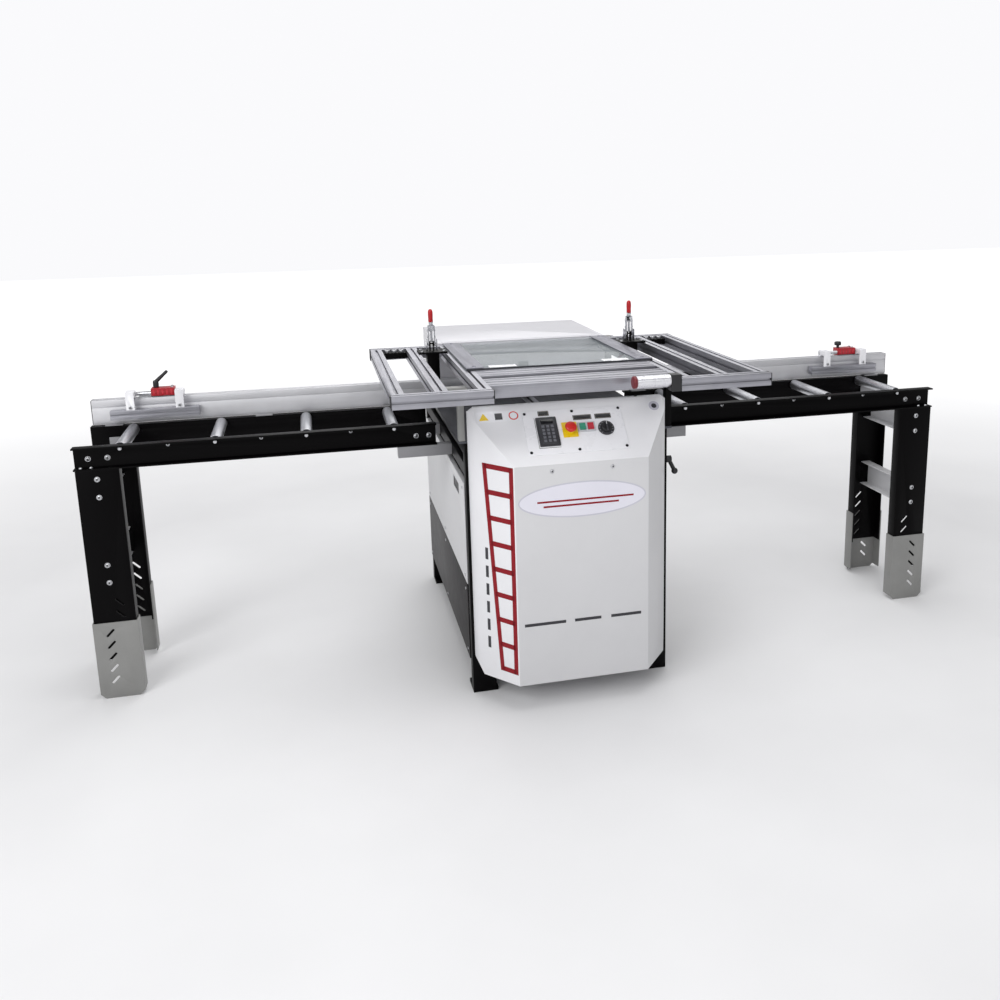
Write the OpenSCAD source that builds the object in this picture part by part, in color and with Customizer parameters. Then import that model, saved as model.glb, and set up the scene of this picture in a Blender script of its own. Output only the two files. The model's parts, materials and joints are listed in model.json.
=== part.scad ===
// Through-feed crosscut saw: a blade that travels under a slotted table, roller outriggers,
// a fence with flip stops, and a lift-up guard frame with toggle hold-downs.
// X runs along the fence, Y from the operator towards the fence, Z up from the floor.
// Lengths are written from the front roller rail; seat() moves them to the middle of the footprint.

/* [Machine] */
// Height of the roller rails
rail_top = 885; // [780:1:960]
// Distance from the middle of the saw to each outrigger tip
half_span = 1590; // [1450:1:2400]
// Depth over both roller rails
rail_depth = 362; // [330:1:460]
// Distance from the middle of the saw to the inner end of each roller rail
rail_inner = 400; // [400:1:460]

/* [Rails and rollers] */
// Height of the rail channel
rail_h = 76; // [60:1:100]
// Flange width of the rail channel
rail_flange = 36; // [25:1:50]
// Wall of the rail channel
rail_wall = 5; // [3:0.5:8]
// Roller pitch
roller_pitch = 300; // [150:1:330]
// Rollers on each side
roller_count = 4; // [2:1:4]
// Outer roller distance from the middle
roller_outer = 1446; // [1250:1:1500]
// Roller radius
roller_r = 20; // [15:0.5:24]
// Roller axle radius
axle_r = 6; // [4:0.5:8]
// Radial clearance of a running fit
run_fit = 0.06; // [0.02:0.01:0.1]

/* [Legs] */
// Width of the leg channel
leg_w = 135; // [100:1:160]
// Depth of the leg channel
leg_d = 45; // [30:1:60]
// Wall of the leg channel
leg_wall = 5; // [3:0.5:8]
// Height of the lower edge of the upper leg
leg_gap = 140; // [60:1:220]
// Height of the adjustable lower leg
lower_leg_h = 275; // [240:1:340]
// Pitch of the slanted adjustment slots
slot_pitch = 43; // [40:1:60]

/* [Cabinet] */
// Half width of the front cover at its back edge
cover_half = 339; // [320:1:339]
// Half width of the flat front
cover_flat = 221; // [180:1:260]
// Half width of the front cover at its side fold
cover_fold = 318; // [290:1:330]
// Depth of the front cover
cover_depth = 175; // [150:1:220]
// Height of the cover's lower edge
cover_bottom = 95; // [60:1:140]
// Height of the crease below the control slope
crease_z = 839; // [780:1:840]
// Height of the top of the control slope
cover_top = 1005; // [980:1:1015]
// Depth of the flat lip behind the control slope
cover_lip = 15; // [8:1:25]
// Sheet thickness of the covers
sheet = 3; // [1.5:0.5:4]
// Distance from the front rail back to the rear of the frame
frame_back = 800; // [780:1:880]
// Thickness of the table plate
table_t = 8; // [6:1:12]
// Height of the seam between the upper and lower side panels
panel_seam = 380; // [250:1:500]

/* [Saw] */
// Blade radius
blade_r = 200; // [150:1:205]
// Height of the blade above the table
cut_h = 110; // [60:1:120]
// Travel of the saw carriage
travel = 620; // [500:1:620]
// Radius of the saw arbor
arbor_r = 12.5; // [10:0.5:15]
// Height of the motor shaft
motor_z = 400; // [330:1:405]

/* [Guard] */
// Height of the top of the guard frame
guard_top = 1108; // [1070:1:1180]
// Size of the aluminium profile
bar = 40; // [30:1:45]
// Half width over both wings
wing_out = 595; // [560:1:700]
// Inner end of each wing
wing_in = 295; // [280:1:300]
// Front face of the wings
wing_front = -590; // [-640:1:-560]
// Back face of the guard frame
guard_back = 369; // [360:1:372]
// Thickness of the clear sheet
clear_t = 6; // [4:1:8]
// Radius of the guard's hinge pins
hinge_r = 6; // [4:0.5:8]
// Depth of the hinge axis below the top of the guard
hinge_drop = 14; // [13:1:16]

/* [Fence] */
// Face of the fence
fence_y = 340; // [320:1:341]
// Fence height
fence_h = 87; // [60:1:100]
// Fence depth
fence_d = 40; // [30:1:41]
// Half length of the fence
fence_half = 1580; // [1400:1:2300]
// Middle of each stop along the fence
stop_x = 1366; // [900:1:1400]

/* [Hood] */
// Half width of the rear hood
hood_half = 334; // [250:1:334]
// Front face of the hood
hood_front = 381; // [381:1:400]
// Back face of the hood
hood_back = 900; // [850:1:1000]
// Height of the top of the hood
hood_top = 1113; // [1090:1:1200]

/* [Hidden] */
$fn = 48;
eps = 0.01;
axle_z = rail_top + 5 - roller_r;          // rollers stand 5 mm above the rails
table_z = rail_top + 5;                    // work surface
rail_z = rail_top - rail_h;                // underside of the rails
brace_zs = [rail_z - 62, rail_z - 361];    // middles of the leg braces
brace_h = 100;
leg_tip = 5;                               // leg set in from the rail tip
frame_front = -312;
frame_half = 348;
tube = 40;
cover_y = frame_front - 3 - cover_depth;   // flat front of the cover
cover_back = frame_front - 3;
lip_y = cover_back - cover_lip;
slope_a = atan2(cover_top - crease_z, lip_y - cover_y);
fold_y = cover_back - 55;
fold_z = crease_z + (fold_y - cover_y)*tan(slope_a);
bevel_z = cover_bottom + 45;
corner_z = cover_top - 15;
corner_x = cover_fold;
plate_w = 2.5;                             // control plate thickness
arbor_z = table_z + cut_h - blade_r;
park_y = 560;                              // arbor position at rest, under the hood
slot_half = 7;
beam_xs = [50, 220];
beam_z = 500;
deck_z = beam_z + tube + 35;               // underside of the carriage deck
deck_t = 15;
motor_r = 90;
belt_x = 175;
belt_w = 20;
arbor_pulley_r = 40;
motor_pulley_r = 55;
rail_centres = [wing_out - bar/2, wing_in + 150, wing_in + bar/2];
hinge_y = 400;
hinge_z = guard_top - hinge_drop;
post_x = 340;
post_w = 24;
table_half = post_x + post_w + 2;
clamp_x = 380;
clamp_y = 190;                             // plunger axis
pivot_y = 206;
pivot_z = guard_top + 32;
stop_len = 300;
stop_bar = 32;
stop_axis_y = 350;
stop_axis_z = table_z + fence_h + 15;
y_mid = (wing_front + hood_back) / 2;

// ---- helpers ----------------------------------------------------------------------------

// Moves a piece from the rail frame to the middle of the footprint
module seat() { translate([0, -y_mid, 0]) children(); }

// Box given by its lowest and highest corners
module box(lo, hi) { translate(lo) cube(hi - lo); }

// Copies a piece to the other side of the blade
module both() {
    children();
    mirror([1, 0, 0]) children();
}

// Cylinder along X from x0 to x1
module rod_x(x0, x1, r, y, z) {
    translate([x0, y, z]) rotate([0, 90, 0]) cylinder(h = x1 - x0, r = r);
}

// Cylinder along Y from y0 to y1
module rod_y(y0, y1, r, x, z) {
    translate([x, y0, z]) rotate([-90, 0, 0]) cylinder(h = y1 - y0, r = r);
}

// Domed screw head standing on a surface, along +Z
module dome(r, h) {
    ball = (r*r + h*h) / (2*h);
    intersection() {
        translate([0, 0, h - ball]) sphere(ball);
        cylinder(h = h, r = r);
    }
}

// Dome on a face that looks to the operator
module dome_front(x, y, z, r, h) { translate([x, y, z]) rotate([90, 0, 0]) dome(r, h); }

// Places a piece on the control slope: u across, v up the slope, w out of it
module on_slope(u, v, w) {
    translate([0, cover_y, crease_z]) rotate([slope_a, 0, 0]) translate([u, v, w + eps]) children();
}

// Slotted profile section, n modules wide, with a plain front face if closed
module profile(n, closed = false) {
    slot = bar * 0.2;
    lip = bar * 0.07;
    pocket = bar * 0.42;
    deep = bar * 0.2;
    difference() {
        square([bar*n, bar]);
        for (i = [0:n - 1]) translate([bar*(i + 0.5), 0]) for (m = [0, 1]) translate([0, m*bar])
            mirror([0, m]) {
                translate([-slot/2, -eps]) square([slot, deep]);
                translate([-pocket/2, lip]) square([pocket, deep - lip]);
            }
        for (m = [closed ? 1 : 0:1]) translate([m*bar*n, bar/2]) mirror([m, 0]) {
            translate([-eps, -slot/2]) square([deep, slot]);
            translate([lip, -pocket/2]) square([deep - lip, pocket]);
        }
    }
}

// Profile along X, its top at the top of the guard frame, its front face at y
module bar_x(x0, x1, y, n, closed = false) {
    translate([x0, y, guard_top - bar]) rotate([90, 0, 90]) linear_extrude(x1 - x0) profile(n, closed);
}

// Profile along Y, centred on x
module bar_y(y0, y1, x) {
    translate([x - bar/2, y1, guard_top - bar]) rotate([90, 0, 0]) linear_extrude(y1 - y0) profile(1);
}

// ---- cabinet ----------------------------------------------------------------------------

module base_frame() color("#0c0c0e") {
    leg_x = frame_half - 80;
    for (y = [frame_front, frame_back - tube]) {
        both() box([leg_x, y, 12], [frame_half, y + tube, table_z - table_t - tube]);
        box([-frame_half, y, table_z - table_t - tube], [frame_half, y + tube, table_z - table_t]);
        for (z = [110, beam_z]) box([-leg_x, y, z], [leg_x, y + tube, z + tube]);
    }
    both() {
        for (z = [110, rail_z - tube, table_z - table_t - tube])
            box([frame_half - tube, frame_front + tube, z], [frame_half, frame_back - tube, z + tube]);
        for (y = [frame_front, frame_back - 90]) difference() {
            box([frame_half - 86, y, 0], [frame_half, y + 90, 12]);
            translate([frame_half - 43, y == frame_front ? y + 65 : y + 25, -1]) cylinder(h = 14, r = 6.5);
        }
    }
    for (x = beam_xs) box([x - tube/2, frame_front + tube, beam_z], [x + tube/2, frame_back - tube, beam_z + tube]);
}

// Solid under the skin of the front cover, drawn in by t
function cover_points(t, back) = [for (s = [-1, 1]) each [
    [s*(cover_flat - t), cover_y + t, cover_bottom + t],
    [s*(cover_flat - t), cover_y + t, crease_z - t],
    [s*(cover_fold - t), fold_y + t, cover_bottom + t],
    [s*(cover_fold - t), fold_y + t, fold_z - t],
    [s*(cover_fold - t), back, cover_bottom + t],
    [s*(cover_half - t), cover_back + t, bevel_z + t],
    [s*(cover_half - t), back, bevel_z + t],
    [s*(cover_half - t), cover_back + t, corner_z - t],
    [s*(cover_half - t), back, corner_z - t],
    [s*(corner_x - t), lip_y + t, cover_top - t],
    [s*(corner_x - t), back, cover_top - t]]];

// Convex skin through a list of points
module skin(points) { hull() for (p = points) translate(p) cube(eps, center = true); }

module front_cover() color("#c9c8ca") difference() {
    skin(cover_points(0, cover_back));
    skin(cover_points(sheet, cover_back + 5));
}

module side_panels() {
    lip = 12;
    top = rail_z - 74;
    front = frame_front + 40;
    difference() {
        box([frame_half, front, panel_seam + 3], [frame_half + sheet, frame_back, top]);
        box([frame_half - 1, front + 120, top - 70], [frame_half + sheet + 1, front + 250, top - 32]);
    }
    box([frame_half, front, 110], [frame_half + sheet, frame_back, panel_seam]);
    box([frame_half - lip, front, top], [frame_half + sheet, frame_back - tube - 0.5, top + sheet]);
}

module body_panels() color("#cfcfd2") {
    both() side_panels();
    difference() {
        box([-frame_half + 1, frame_back, 112], [frame_half - 1, frame_back + sheet, table_z - table_t]);
        rod_y(frame_back - 1, frame_back + sheet + 1, 57, 0, 300);
        rod_y(frame_back - 1, frame_back + sheet + 1, 12.5, 200, 300);
    }
}

module dust_port() color("#3a3b3e") {
    difference() {
        union() {
            rod_y(frame_back + sheet, frame_back + sheet + 4, 74, 0, 300);
            rod_y(frame_back + sheet, frame_back + sheet + 70, 60, 0, 300);
        }
        rod_y(frame_back, frame_back + 90, 57, 0, 300);
    }
    difference() {
        rod_y(frame_back + sheet, frame_back + sheet + 14, 18, 200, 300);
        rod_y(frame_back, frame_back + 30, 7, 200, 300);
    }
}

module side_lever() color("#18181a") {
    lever_y = frame_front + 20;
    lever_z = rail_z - 40;
    rod_x(frame_half + 0.5, frame_half + 22, 12, lever_y, lever_z);
    translate([frame_half + 14, lever_y, lever_z]) rotate([150, 0, 0]) rotate([0, 18, 0]) {
        cylinder(h = 46, r = 7);
        translate([0, 0, 46]) sphere(11);
    }
}

module control_box() color("#8f9196")
    difference() {
        box([-190, frame_front - 120, 330], [190, frame_front, 730]);
        box([-187, frame_front - 117, 333], [187, frame_front - 3, 727]);
    }

module table_plate() color("#9a9ba0") difference() {
    box([-table_half, frame_front + 2, table_z - table_t], [table_half, frame_back, table_z]);
    box([-25, frame_front + 30, table_z - 20], [25, fence_y - 10, table_z + 1]);
    box([-slot_half, fence_y - 11, table_z - 20], [slot_half, park_y + blade_r + 12, table_z + 1]);
}

module table_insert() color("#b9b9be") difference() {
    box([-24.7, frame_front + 30.3, table_z - table_t], [24.7, fence_y - 10.3, table_z]);
    box([-5, frame_front + 36, table_z - 20], [5, fence_y, table_z + 1]);
}

module rear_hood() color("#dcdbde") difference() {
    box([-hood_half, hood_front, table_z], [hood_half, hood_back, hood_top]);
    box([-hood_half + sheet, hood_front + sheet, table_z - 1],
        [hood_half - sheet, hood_back - sheet, hood_top - sheet]);
    box([-20, hood_front - 1, table_z - 1], [20, hood_front + 10, table_z + cut_h + 25]);
}

// ---- controls ---------------------------------------------------------------------------

module control_plate() color("#efeff2") on_slope(0, 0, 0) box([-166, 36, 0], [166, 200, plate_w]);

module control_bezels() color("#2c2d31") {
    on_slope(37, 125, plate_w) difference() {
        box([-29, -17, 0], [29, 17, 7]);
        for (x = [-13.5, 13.5]) box([x - 10.3, -12.3, 1.5], [x + 10.3, 12.3, 8]);
    }
    on_slope(102, 117, plate_w) cylinder(h = 3, r = 27);
}

module label_plates() color("#26262a") for (p = [[-96, 188, 36, 18], [30, 164, 62, 18], [100, 164, 55, 18]])
    on_slope(p[0], p[1], plate_w) box([-p[2]/2, -p[3]/2, 0], [p[2]/2, p[3]/2, 1]);

module keypad() color("#35353a") on_slope(-92, 118, plate_w) {
    difference() {
        box([-34, -54, 0], [34, 54, 4]);
        box([-31, -51, 2], [31, 51, 5]);
    }
    box([-27, -47, 2], [27, 47, 12]);
}

module estop_base() color("#f0d020") on_slope(-19, 120, plate_w) difference() {
    union() {
        box([-25, -28, 0], [25, 28, 3]);
        cylinder(h = 10, r = 15);
    }
    translate([0, 0, 1]) cylinder(h = 20, r = 6 + run_fit);
}

module estop_button() color("#d8403a") on_slope(-19, 120, plate_w) {
    translate([0, 0, 8]) cylinder(h = 10, r = 6);
    translate([0, 0, 16]) cylinder(h = 5, r = 19);
    translate([0, 0, 21]) dome(19, 7);
}

module push_button(u) on_slope(u, 125, plate_w) box([-10, -12, 5], [10, 12, 10.5]);

module start_button() color("#3e8a78") push_button(23.5);

module stop_button() color("#c04050") push_button(50.5);

module speed_knob() color("#1c1c20") on_slope(102, 117, plate_w + 3.3) {
    cylinder(h = 12, r = 19);
    box([-3, -17, 11], [3, 17, 15]);
}

// ---- table guard ------------------------------------------------------------------------

module guard_posts() color("#8a8b90") {
    both() {
        box([345, frame_front + 4, table_z], [365, frame_front + 34, guard_top - bar - 10]);
        box([wing_in + 5, frame_front + 4, guard_top - bar - 10],
            [wing_in + 150, frame_front + 40, guard_top - bar - 0.5]);
        box([post_x, hinge_y - 15, table_z], [post_x + post_w, hinge_y + 15, hinge_z + 14]);
        rod_x(post_x, post_x + post_w + 16, hinge_r, hinge_y, hinge_z);
    }
}

module wing() {
    for (x = rail_centres) bar_y(wing_front + bar, guard_back - bar, x);
    bar_x(wing_in, wing_out, wing_front, 1);
    bar_x(wing_in, wing_out, guard_back - bar, 1);
    difference() {
        box([post_x + post_w + 2, guard_back - 2, hinge_z - 12],
            [post_x + post_w + 12, hinge_y + 12, hinge_z + 12]);
        rod_x(post_x, post_x + post_w + 20, hinge_r + run_fit, hinge_y, hinge_z);
    }
}

module wing_left() color("#b5b5ba") mirror([1, 0, 0]) wing();

module wing_right() color("#b5b5ba") wing();

module centre_bars() color("#b5b5ba") {
    bar_x(-wing_in, wing_in, wing_front + 75, 3, closed = true);
    bar_x(-wing_in, wing_in, wing_front + 245, 3);
    bar_x(-wing_in, wing_in, guard_back - bar, 1);
}

module guard_sheet() color("#b9c4cc", 0.35)
    box([-322, wing_front + 355, guard_top], [322, guard_back - 19, guard_top + clear_t]);

module sheet_strips() color("#4b4b50") both() {
    box([262, wing_front + 355, guard_top + clear_t], [322, guard_back - 19, guard_top + clear_t + 3]);
    for (y = [wing_front + 380, guard_back - 44]) translate([292, y, guard_top + clear_t + 3]) dome(6, 4);
}

module end_caps() color("#121214") {
    both() for (y = [wing_front, guard_back - bar])
        box([wing_out, y, guard_top - bar], [wing_out + 3, y + bar, guard_top]);
    box([-wing_in, wing_front, guard_top - bar], [-wing_in + 3, wing_front + bar, guard_top]);
}

module lift_grip() {
    grip_z = guard_top - 7;
    grip_y = wing_front + bar/2;
    color("#16161a") box([wing_in - 33, wing_front, guard_top - bar], [wing_in, wing_front + bar, guard_top + 12]);
    color("#d2d2d6") rod_x(wing_in - 143, wing_in - 33, 19, grip_y, grip_z);
    color("#7a1820") rod_x(wing_in - 155, wing_in - 143, 20, grip_y, grip_z);
}

// ---- hold-down clamps -------------------------------------------------------------------

module clamp_base() {
    difference() {
        union() {
            box([-52, 160, guard_top], [52, 240, guard_top + 6]);
            box([-22, clamp_y - 22, guard_top - 120], [22, clamp_y + 22, guard_top]);
        }
        translate([0, clamp_y, guard_top - 130]) cylinder(h = 150, r = 8 + run_fit);
    }
    for (x = [-1, 1]) box([x*6.5 - 2, pivot_y - 6, guard_top + 5], [x*6.5 + 2, pivot_y + 14, pivot_z + 8]);
    rod_x(-15, 15, 3, pivot_y + 1, pivot_z);
}

module clamp_handle() {
    color("#b9bbc0") {
        difference() {
            for (x = [-1, 1]) box([x*11.2 - 2, pivot_y - 6, pivot_z - 8], [x*11.2 + 2, pivot_y + 8, pivot_z + 58]);
            rod_x(-15, 15, 3 + run_fit, pivot_y + 1, pivot_z);
        }
        box([-13.2, pivot_y - 6, pivot_z + 46], [13.2, pivot_y + 8, pivot_z + 66]);
    }
    color("#b01820") translate([0, pivot_y + 1, pivot_z + 66]) {
        cylinder(h = 54, r = 9);
        translate([0, 0, 54]) dome(9, 7);
    }
}

module clamp_plunger() {
    color("#a8a9ae") translate([0, clamp_y, guard_top - 148]) cylinder(h = 150, r = 8);
    color("#1a1a1c") translate([0, clamp_y, guard_top - 163]) cylinder(h = 16, r = 20);
}

module clamp_bases() color("#3a3b40") for (s = [-1, 1]) translate([s*clamp_x, 0, 0]) clamp_base();

// ---- fence and stops --------------------------------------------------------------------

module fence_beams() color("#ababaa") both() translate([15, 0, 0]) rotate([90, 0, 90])
    linear_extrude(fence_half - 15) difference() {
        translate([fence_y, table_z]) square([fence_d, fence_h]);
        translate([fence_y + 3, table_z + 3]) square([fence_d - 6, fence_h/2 - 5]);
        translate([fence_y + 3, table_z + fence_h/2 + 2]) square([fence_d - 6, fence_h/2 - 15]);
        translate([fence_y - eps, table_z + fence_h - 28]) square([1.5, 3]);
        translate([fence_y + fence_d/2 - 4, table_z + fence_h - 9]) square([8, 10]);
    }

module stop_carriage() {
    top = stop_axis_z + 17;
    color("#c04048")
        box([-12, fence_y - 2, table_z + fence_h + 3], [68, fence_y + fence_d + 3, top]);
    color("#8a8b90") {
        box([-58, fence_y, table_z + fence_h + 0.3], [68, fence_y + fence_d, table_z + fence_h + 3]);
        rod_x(-95, 98, 7, stop_axis_y, stop_axis_z);
    }
}

module stop_arm(x) {
    reach = stop_axis_y - 9;
    difference() {
        union() {
            rod_x(x - 14, x + 14, 14, stop_axis_y, stop_axis_z);
            box([x - 14, reach - 38, stop_axis_z - 6], [x + 14, stop_axis_y, stop_axis_z + 14]);
            box([x - 14, reach - 38, stop_axis_z - 50], [x + 14, reach - 30, stop_axis_z]);
        }
        rod_x(x - 15, x + 15, 7 + run_fit, stop_axis_y, stop_axis_z);
    }
    dome_front(x, reach - 38, stop_axis_z - 40, 4, 3);
}

module stop_flag() {
    color("#e9e9ec") for (x = [-80, 86]) stop_arm(x);
    color("#b0b0b6") difference() {
        box([-stop_len/2, fence_y - 38, stop_axis_z - 82], [stop_len/2, fence_y - 6, stop_axis_z - 50]);
        box([-stop_len/2 - 1, fence_y - 39, stop_axis_z - 70], [stop_len/2 + 1, fence_y - 33, stop_axis_z - 62]);
    }
}

module stop_lever() color("#141416") {
    top = stop_axis_z + 17.5;
    translate([4, fence_y + 22, top]) {
        cylinder(h = 26, r = 10);
        translate([0, 0, 20]) rotate([0, 48, 0]) cylinder(h = 58, r1 = 7, r2 = 5);
    }
}

module stop_knob() color("#141416") {
    top = stop_axis_z + 17.5;
    translate([-2, fence_y + 22, top]) {
        cylinder(h = 10, r = 6);
        translate([0, 0, 10]) cylinder(h = 16, r = 15);
    }
}

// ---- outriggers -------------------------------------------------------------------------

// Channel section, its web along x at the back, its flanges towards -y
module channel_profile(w, d, t) {
    difference() {
        square([w, d]);
        translate([t, -eps]) square([w - 2*t, d - t + eps]);
    }
}

// Puts a piece at both rails, the second one turned to look away from the operator
module front_and_back() {
    children();
    translate([0, rail_depth, 0]) mirror([0, 1, 0]) children();
}

module roller_rails() color("#070508") both() front_and_back() difference() {
    translate([half_span, 0, rail_z]) rotate([0, -90, 0])
        linear_extrude(half_span - rail_inner) channel_profile(rail_h, rail_flange, rail_wall);
    for (i = [0:roller_count - 1])
        rod_y(0, rail_flange + 1, axle_r + eps, roller_outer - i*roller_pitch, axle_z);
}

module roller_axles() color("#9a9aa0") both() for (i = [0:roller_count - 1])
    rod_y(rail_flange - rail_wall - 6, rail_depth - rail_flange + rail_wall + 6, axle_r,
        roller_outer - i*roller_pitch, axle_z);

module roller(side, i) color("#b4b4b8") {
    gap = 3;
    x = side*(roller_outer - i*roller_pitch);
    y0 = rail_flange + gap;
    y1 = rail_depth - rail_flange - gap;
    difference() {
        rod_y(y0, y1, roller_r, x, axle_z);
        rod_y(y0 - 1, y1 + 1, axle_r + run_fit, x, axle_z);
        rod_y(y0 + 10, y1 - 10, roller_r - 3, x, axle_z);
    }
}

// Slanted slots down a web, lean is +45 or -45
module slots(x, z0, lean) {
    for (i = [0:4]) translate([x, -30, z0 + i*slot_pitch]) rotate([-90, 0, 0]) rotate([0, 0, lean]) {
        translate([-14, -4, 0]) cube([28, 8, 60]);
        for (s = [-14, 14]) translate([s, 0, 0]) cylinder(h = 60, r = 4);
    }
}

module upper_leg() {
    x1 = half_span - leg_tip;
    difference() {
        union() {
            translate([x1 - leg_w, leg_d, leg_gap]) mirror([0, 1, 0])
                linear_extrude(rail_z - leg_gap) channel_profile(leg_w, leg_d, leg_wall);
            box([x1 - leg_w, 0, rail_z - 6], [x1, leg_d, rail_z]);
        }
        slots(x1 - leg_w/2 - 22, leg_gap + 33, -45);
    }
}

module lower_leg() {
    gap = 0.5;
    wall = 4;
    x1 = half_span - leg_tip + gap + wall;
    w = leg_w + 2*(gap + wall);
    difference() {
        translate([x1 - w, leg_d + 1, 0]) mirror([0, 1, 0])
            linear_extrude(lower_leg_h) channel_profile(w, leg_d + 1 + gap + wall, wall);
        slots(x1 - w/2 + 18, 66, 45);
        for (m = [0, 1]) translate([m == 0 ? x1 : x1 - w, -30, 0]) rotate([0, 45, 0])
            translate([-12, 0, -12]) cube([24, 100, 24]);
    }
}

module upper_legs() color("#070508") both() front_and_back() upper_leg();

module lower_legs() color("#8a8a88") both() front_and_back() lower_leg();

module leg_braces() color("#8a8a88") both() for (z = brace_zs)
    translate([half_span - 90, leg_wall, z - brace_h/2]) rotate([-90, 0, 0]) mirror([0, 1, 0])
        linear_extrude(rail_depth - 2*leg_wall) rotate([0, 0, 90]) mirror([0, 1, 0])
            channel_profile(brace_h, 40, 4);

module steel_brackets() color("#8a8b90") both() {
    front_and_back() box([frame_half, 0, rail_z - tube], [frame_half + 190, rail_flange, rail_z]);
    front_and_back() box([half_span - 130, rail_flange, rail_z + 8], [half_span - 60, rail_flange + 5, rail_top - 40]);
    for (x = [rail_inner + 60, (rail_inner + half_span)/2, half_span - 80])
        box([x - 30, rail_depth - rail_flange, rail_top], [x + 30, rail_depth, table_z]);
}

// ---- fasteners --------------------------------------------------------------------------

module fasteners() color("#b8b8bc") {
    both() front_and_back() {
        for (z = brace_zs) for (s = [-31, 31]) dome_front(half_span - 70, 0, z + s, 9, 5);
        for (x = [half_span - 43, half_span - 103]) dome_front(x, rail_flange - rail_wall, rail_z + 33, 9, 5);
        for (x = [half_span - 21, half_span - 53])
            translate([x, rail_flange/2 - 3, rail_z + rail_wall]) dome(7, 6);
        for (i = [0:roller_count - 2])
            dome_front(roller_outer - (i + 0.5)*roller_pitch, rail_flange - rail_wall, axle_z + 2, 6, 4);
        for (x = [rail_inner + 25, rail_inner + 70])
            dome_front(x, rail_flange - rail_wall, rail_z + 30, 9, 5);
    }
    for (x = [-100, 100]) dome_front(x, cover_y - eps, crease_z - 22, 7, 4);
    for (u = [-158, 0, 158]) for (v = [46, 190]) on_slope(u, v, plate_w) dome(5, 3);
}

// ---- saw unit ---------------------------------------------------------------------------

module saw_rails() color("#c2c2c6") {
    for (x = beam_xs) box([x - 10, frame_front + tube, beam_z + tube], [x + 10, frame_back - tube, beam_z + tube + 15]);
    box([-205, frame_front + tube, beam_z + tube], [-155, frame_back - tube, beam_z + tube + 32]);
    for (y = [frame_front + tube, frame_back - 2*tube])
        box([-205, y, beam_z], [beam_xs[0] - tube/2, y + tube, beam_z + tube]);
}

module saw_deck() color("#5b5e66") {
    pedestal_x = [40, 145];
    difference() {
        union() {
            box([25, park_y - 120, deck_z], [250, park_y + 120, deck_z + deck_t]);
            box([-205, park_y - 40, deck_z], [25, park_y + 40, deck_z + deck_t]);
        }
        box([155, park_y - 72, deck_z - 1], [195, park_y + 72, deck_z + deck_t + 1]);
    }
    for (x = beam_xs) for (y = [-110, 60]) difference() {
        box([x - 24, park_y + y, deck_z - 32], [x + 24, park_y + y + 50, deck_z]);
        box([x - 10.2, park_y + y - 1, deck_z - 33], [x + 10.2, park_y + y + 51, deck_z - 19.8]);
    }
    box([140, park_y - 100, motor_z - motor_r], [150, park_y - 74, deck_z]);
    box([140, park_y + 74, motor_z - motor_r], [150, park_y + 100, deck_z]);
    difference() {
        box([140, park_y - 75, motor_z - motor_r], [150, park_y + 75, motor_z + motor_r + 20]);
        rod_x(130, 160, 40, park_y, motor_z);
    }
    difference() {
        union() {
            rod_x(pedestal_x[0], pedestal_x[1], 45, park_y, arbor_z);
            box([60, park_y - 40, deck_z + deck_t], [125, park_y + 40, arbor_z]);
        }
        rod_x(0, 200, arbor_r + run_fit, park_y, arbor_z);
    }
}

module saw_motor() color("#3b4a5a") difference() {
    union() {
        rod_x(-60, 140, motor_r - 6, park_y, motor_z);
        for (i = [0:23]) translate([0, park_y, motor_z]) rotate([i*15, 0, 0]) box([-50, motor_r - 8, -2], [115, motor_r, 2]);
        rod_x(128, 140, motor_r, park_y, motor_z);
    }
    rod_x(100, 141, 14 + run_fit, park_y, motor_z);
}

// Grooved pulley along X
module pulley(r, bore) {
    w = belt_w + 4;
    translate([belt_x - w/2, park_y, 0]) rotate([0, 90, 0]) difference() {
        union() {
            cylinder(h = w, r = r);
            for (z = [0, w - 1.8]) translate([0, 0, z]) cylinder(h = 1.8, r = r + 5);
        }
        if (bore > 0) translate([0, 0, -1]) cylinder(h = w + 2, r = bore);
    }
}

module motor_pulley() color("#70737a") {
    translate([0, 0, motor_z]) pulley(motor_pulley_r, 0);
    rod_x(101, belt_x, 14, park_y, motor_z);
}

module drive_belt() color("#141414") {
    gap = 0.4;
    thick = 5;
    translate([belt_x - belt_w/2, park_y, 0]) rotate([90, 0, 90]) linear_extrude(belt_w) difference() {
        hull() {
            translate([0, motor_z]) circle(motor_pulley_r + gap + thick);
            translate([0, arbor_z]) circle(arbor_pulley_r + gap + thick);
        }
        hull() {
            translate([0, motor_z]) circle(motor_pulley_r + gap);
            translate([0, arbor_z]) circle(arbor_pulley_r + gap);
        }
    }
}

module arbor() color("#8e9097") {
    rod_x(-2, belt_x, arbor_r, park_y, arbor_z);
    translate([0, 0, arbor_z]) pulley(arbor_pulley_r, 0);
    rod_x(1.8, 20, 50, park_y, arbor_z);
    rod_x(-14, -1.8, 50, park_y, arbor_z);
    translate([-32, park_y, arbor_z]) rotate([0, 90, 0]) cylinder(h = 18, r = 20, $fn = 6);
}

module saw_blade() color("#c9c9ce") {
    teeth = 60;
    translate([-1.7, park_y, arbor_z]) rotate([90, 0, 90]) linear_extrude(3.4) difference() {
        polygon([for (i = [0:teeth - 1]) each [
            [blade_r*cos(i*360/teeth), blade_r*sin(i*360/teeth)],
            [(blade_r - 9)*cos((i + 0.25)*360/teeth), (blade_r - 9)*sin((i + 0.25)*360/teeth)]]]);
        circle(arbor_r + 0.02);
    }
}

// ---- nodes ------------------------------------------------------------------------------

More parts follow.
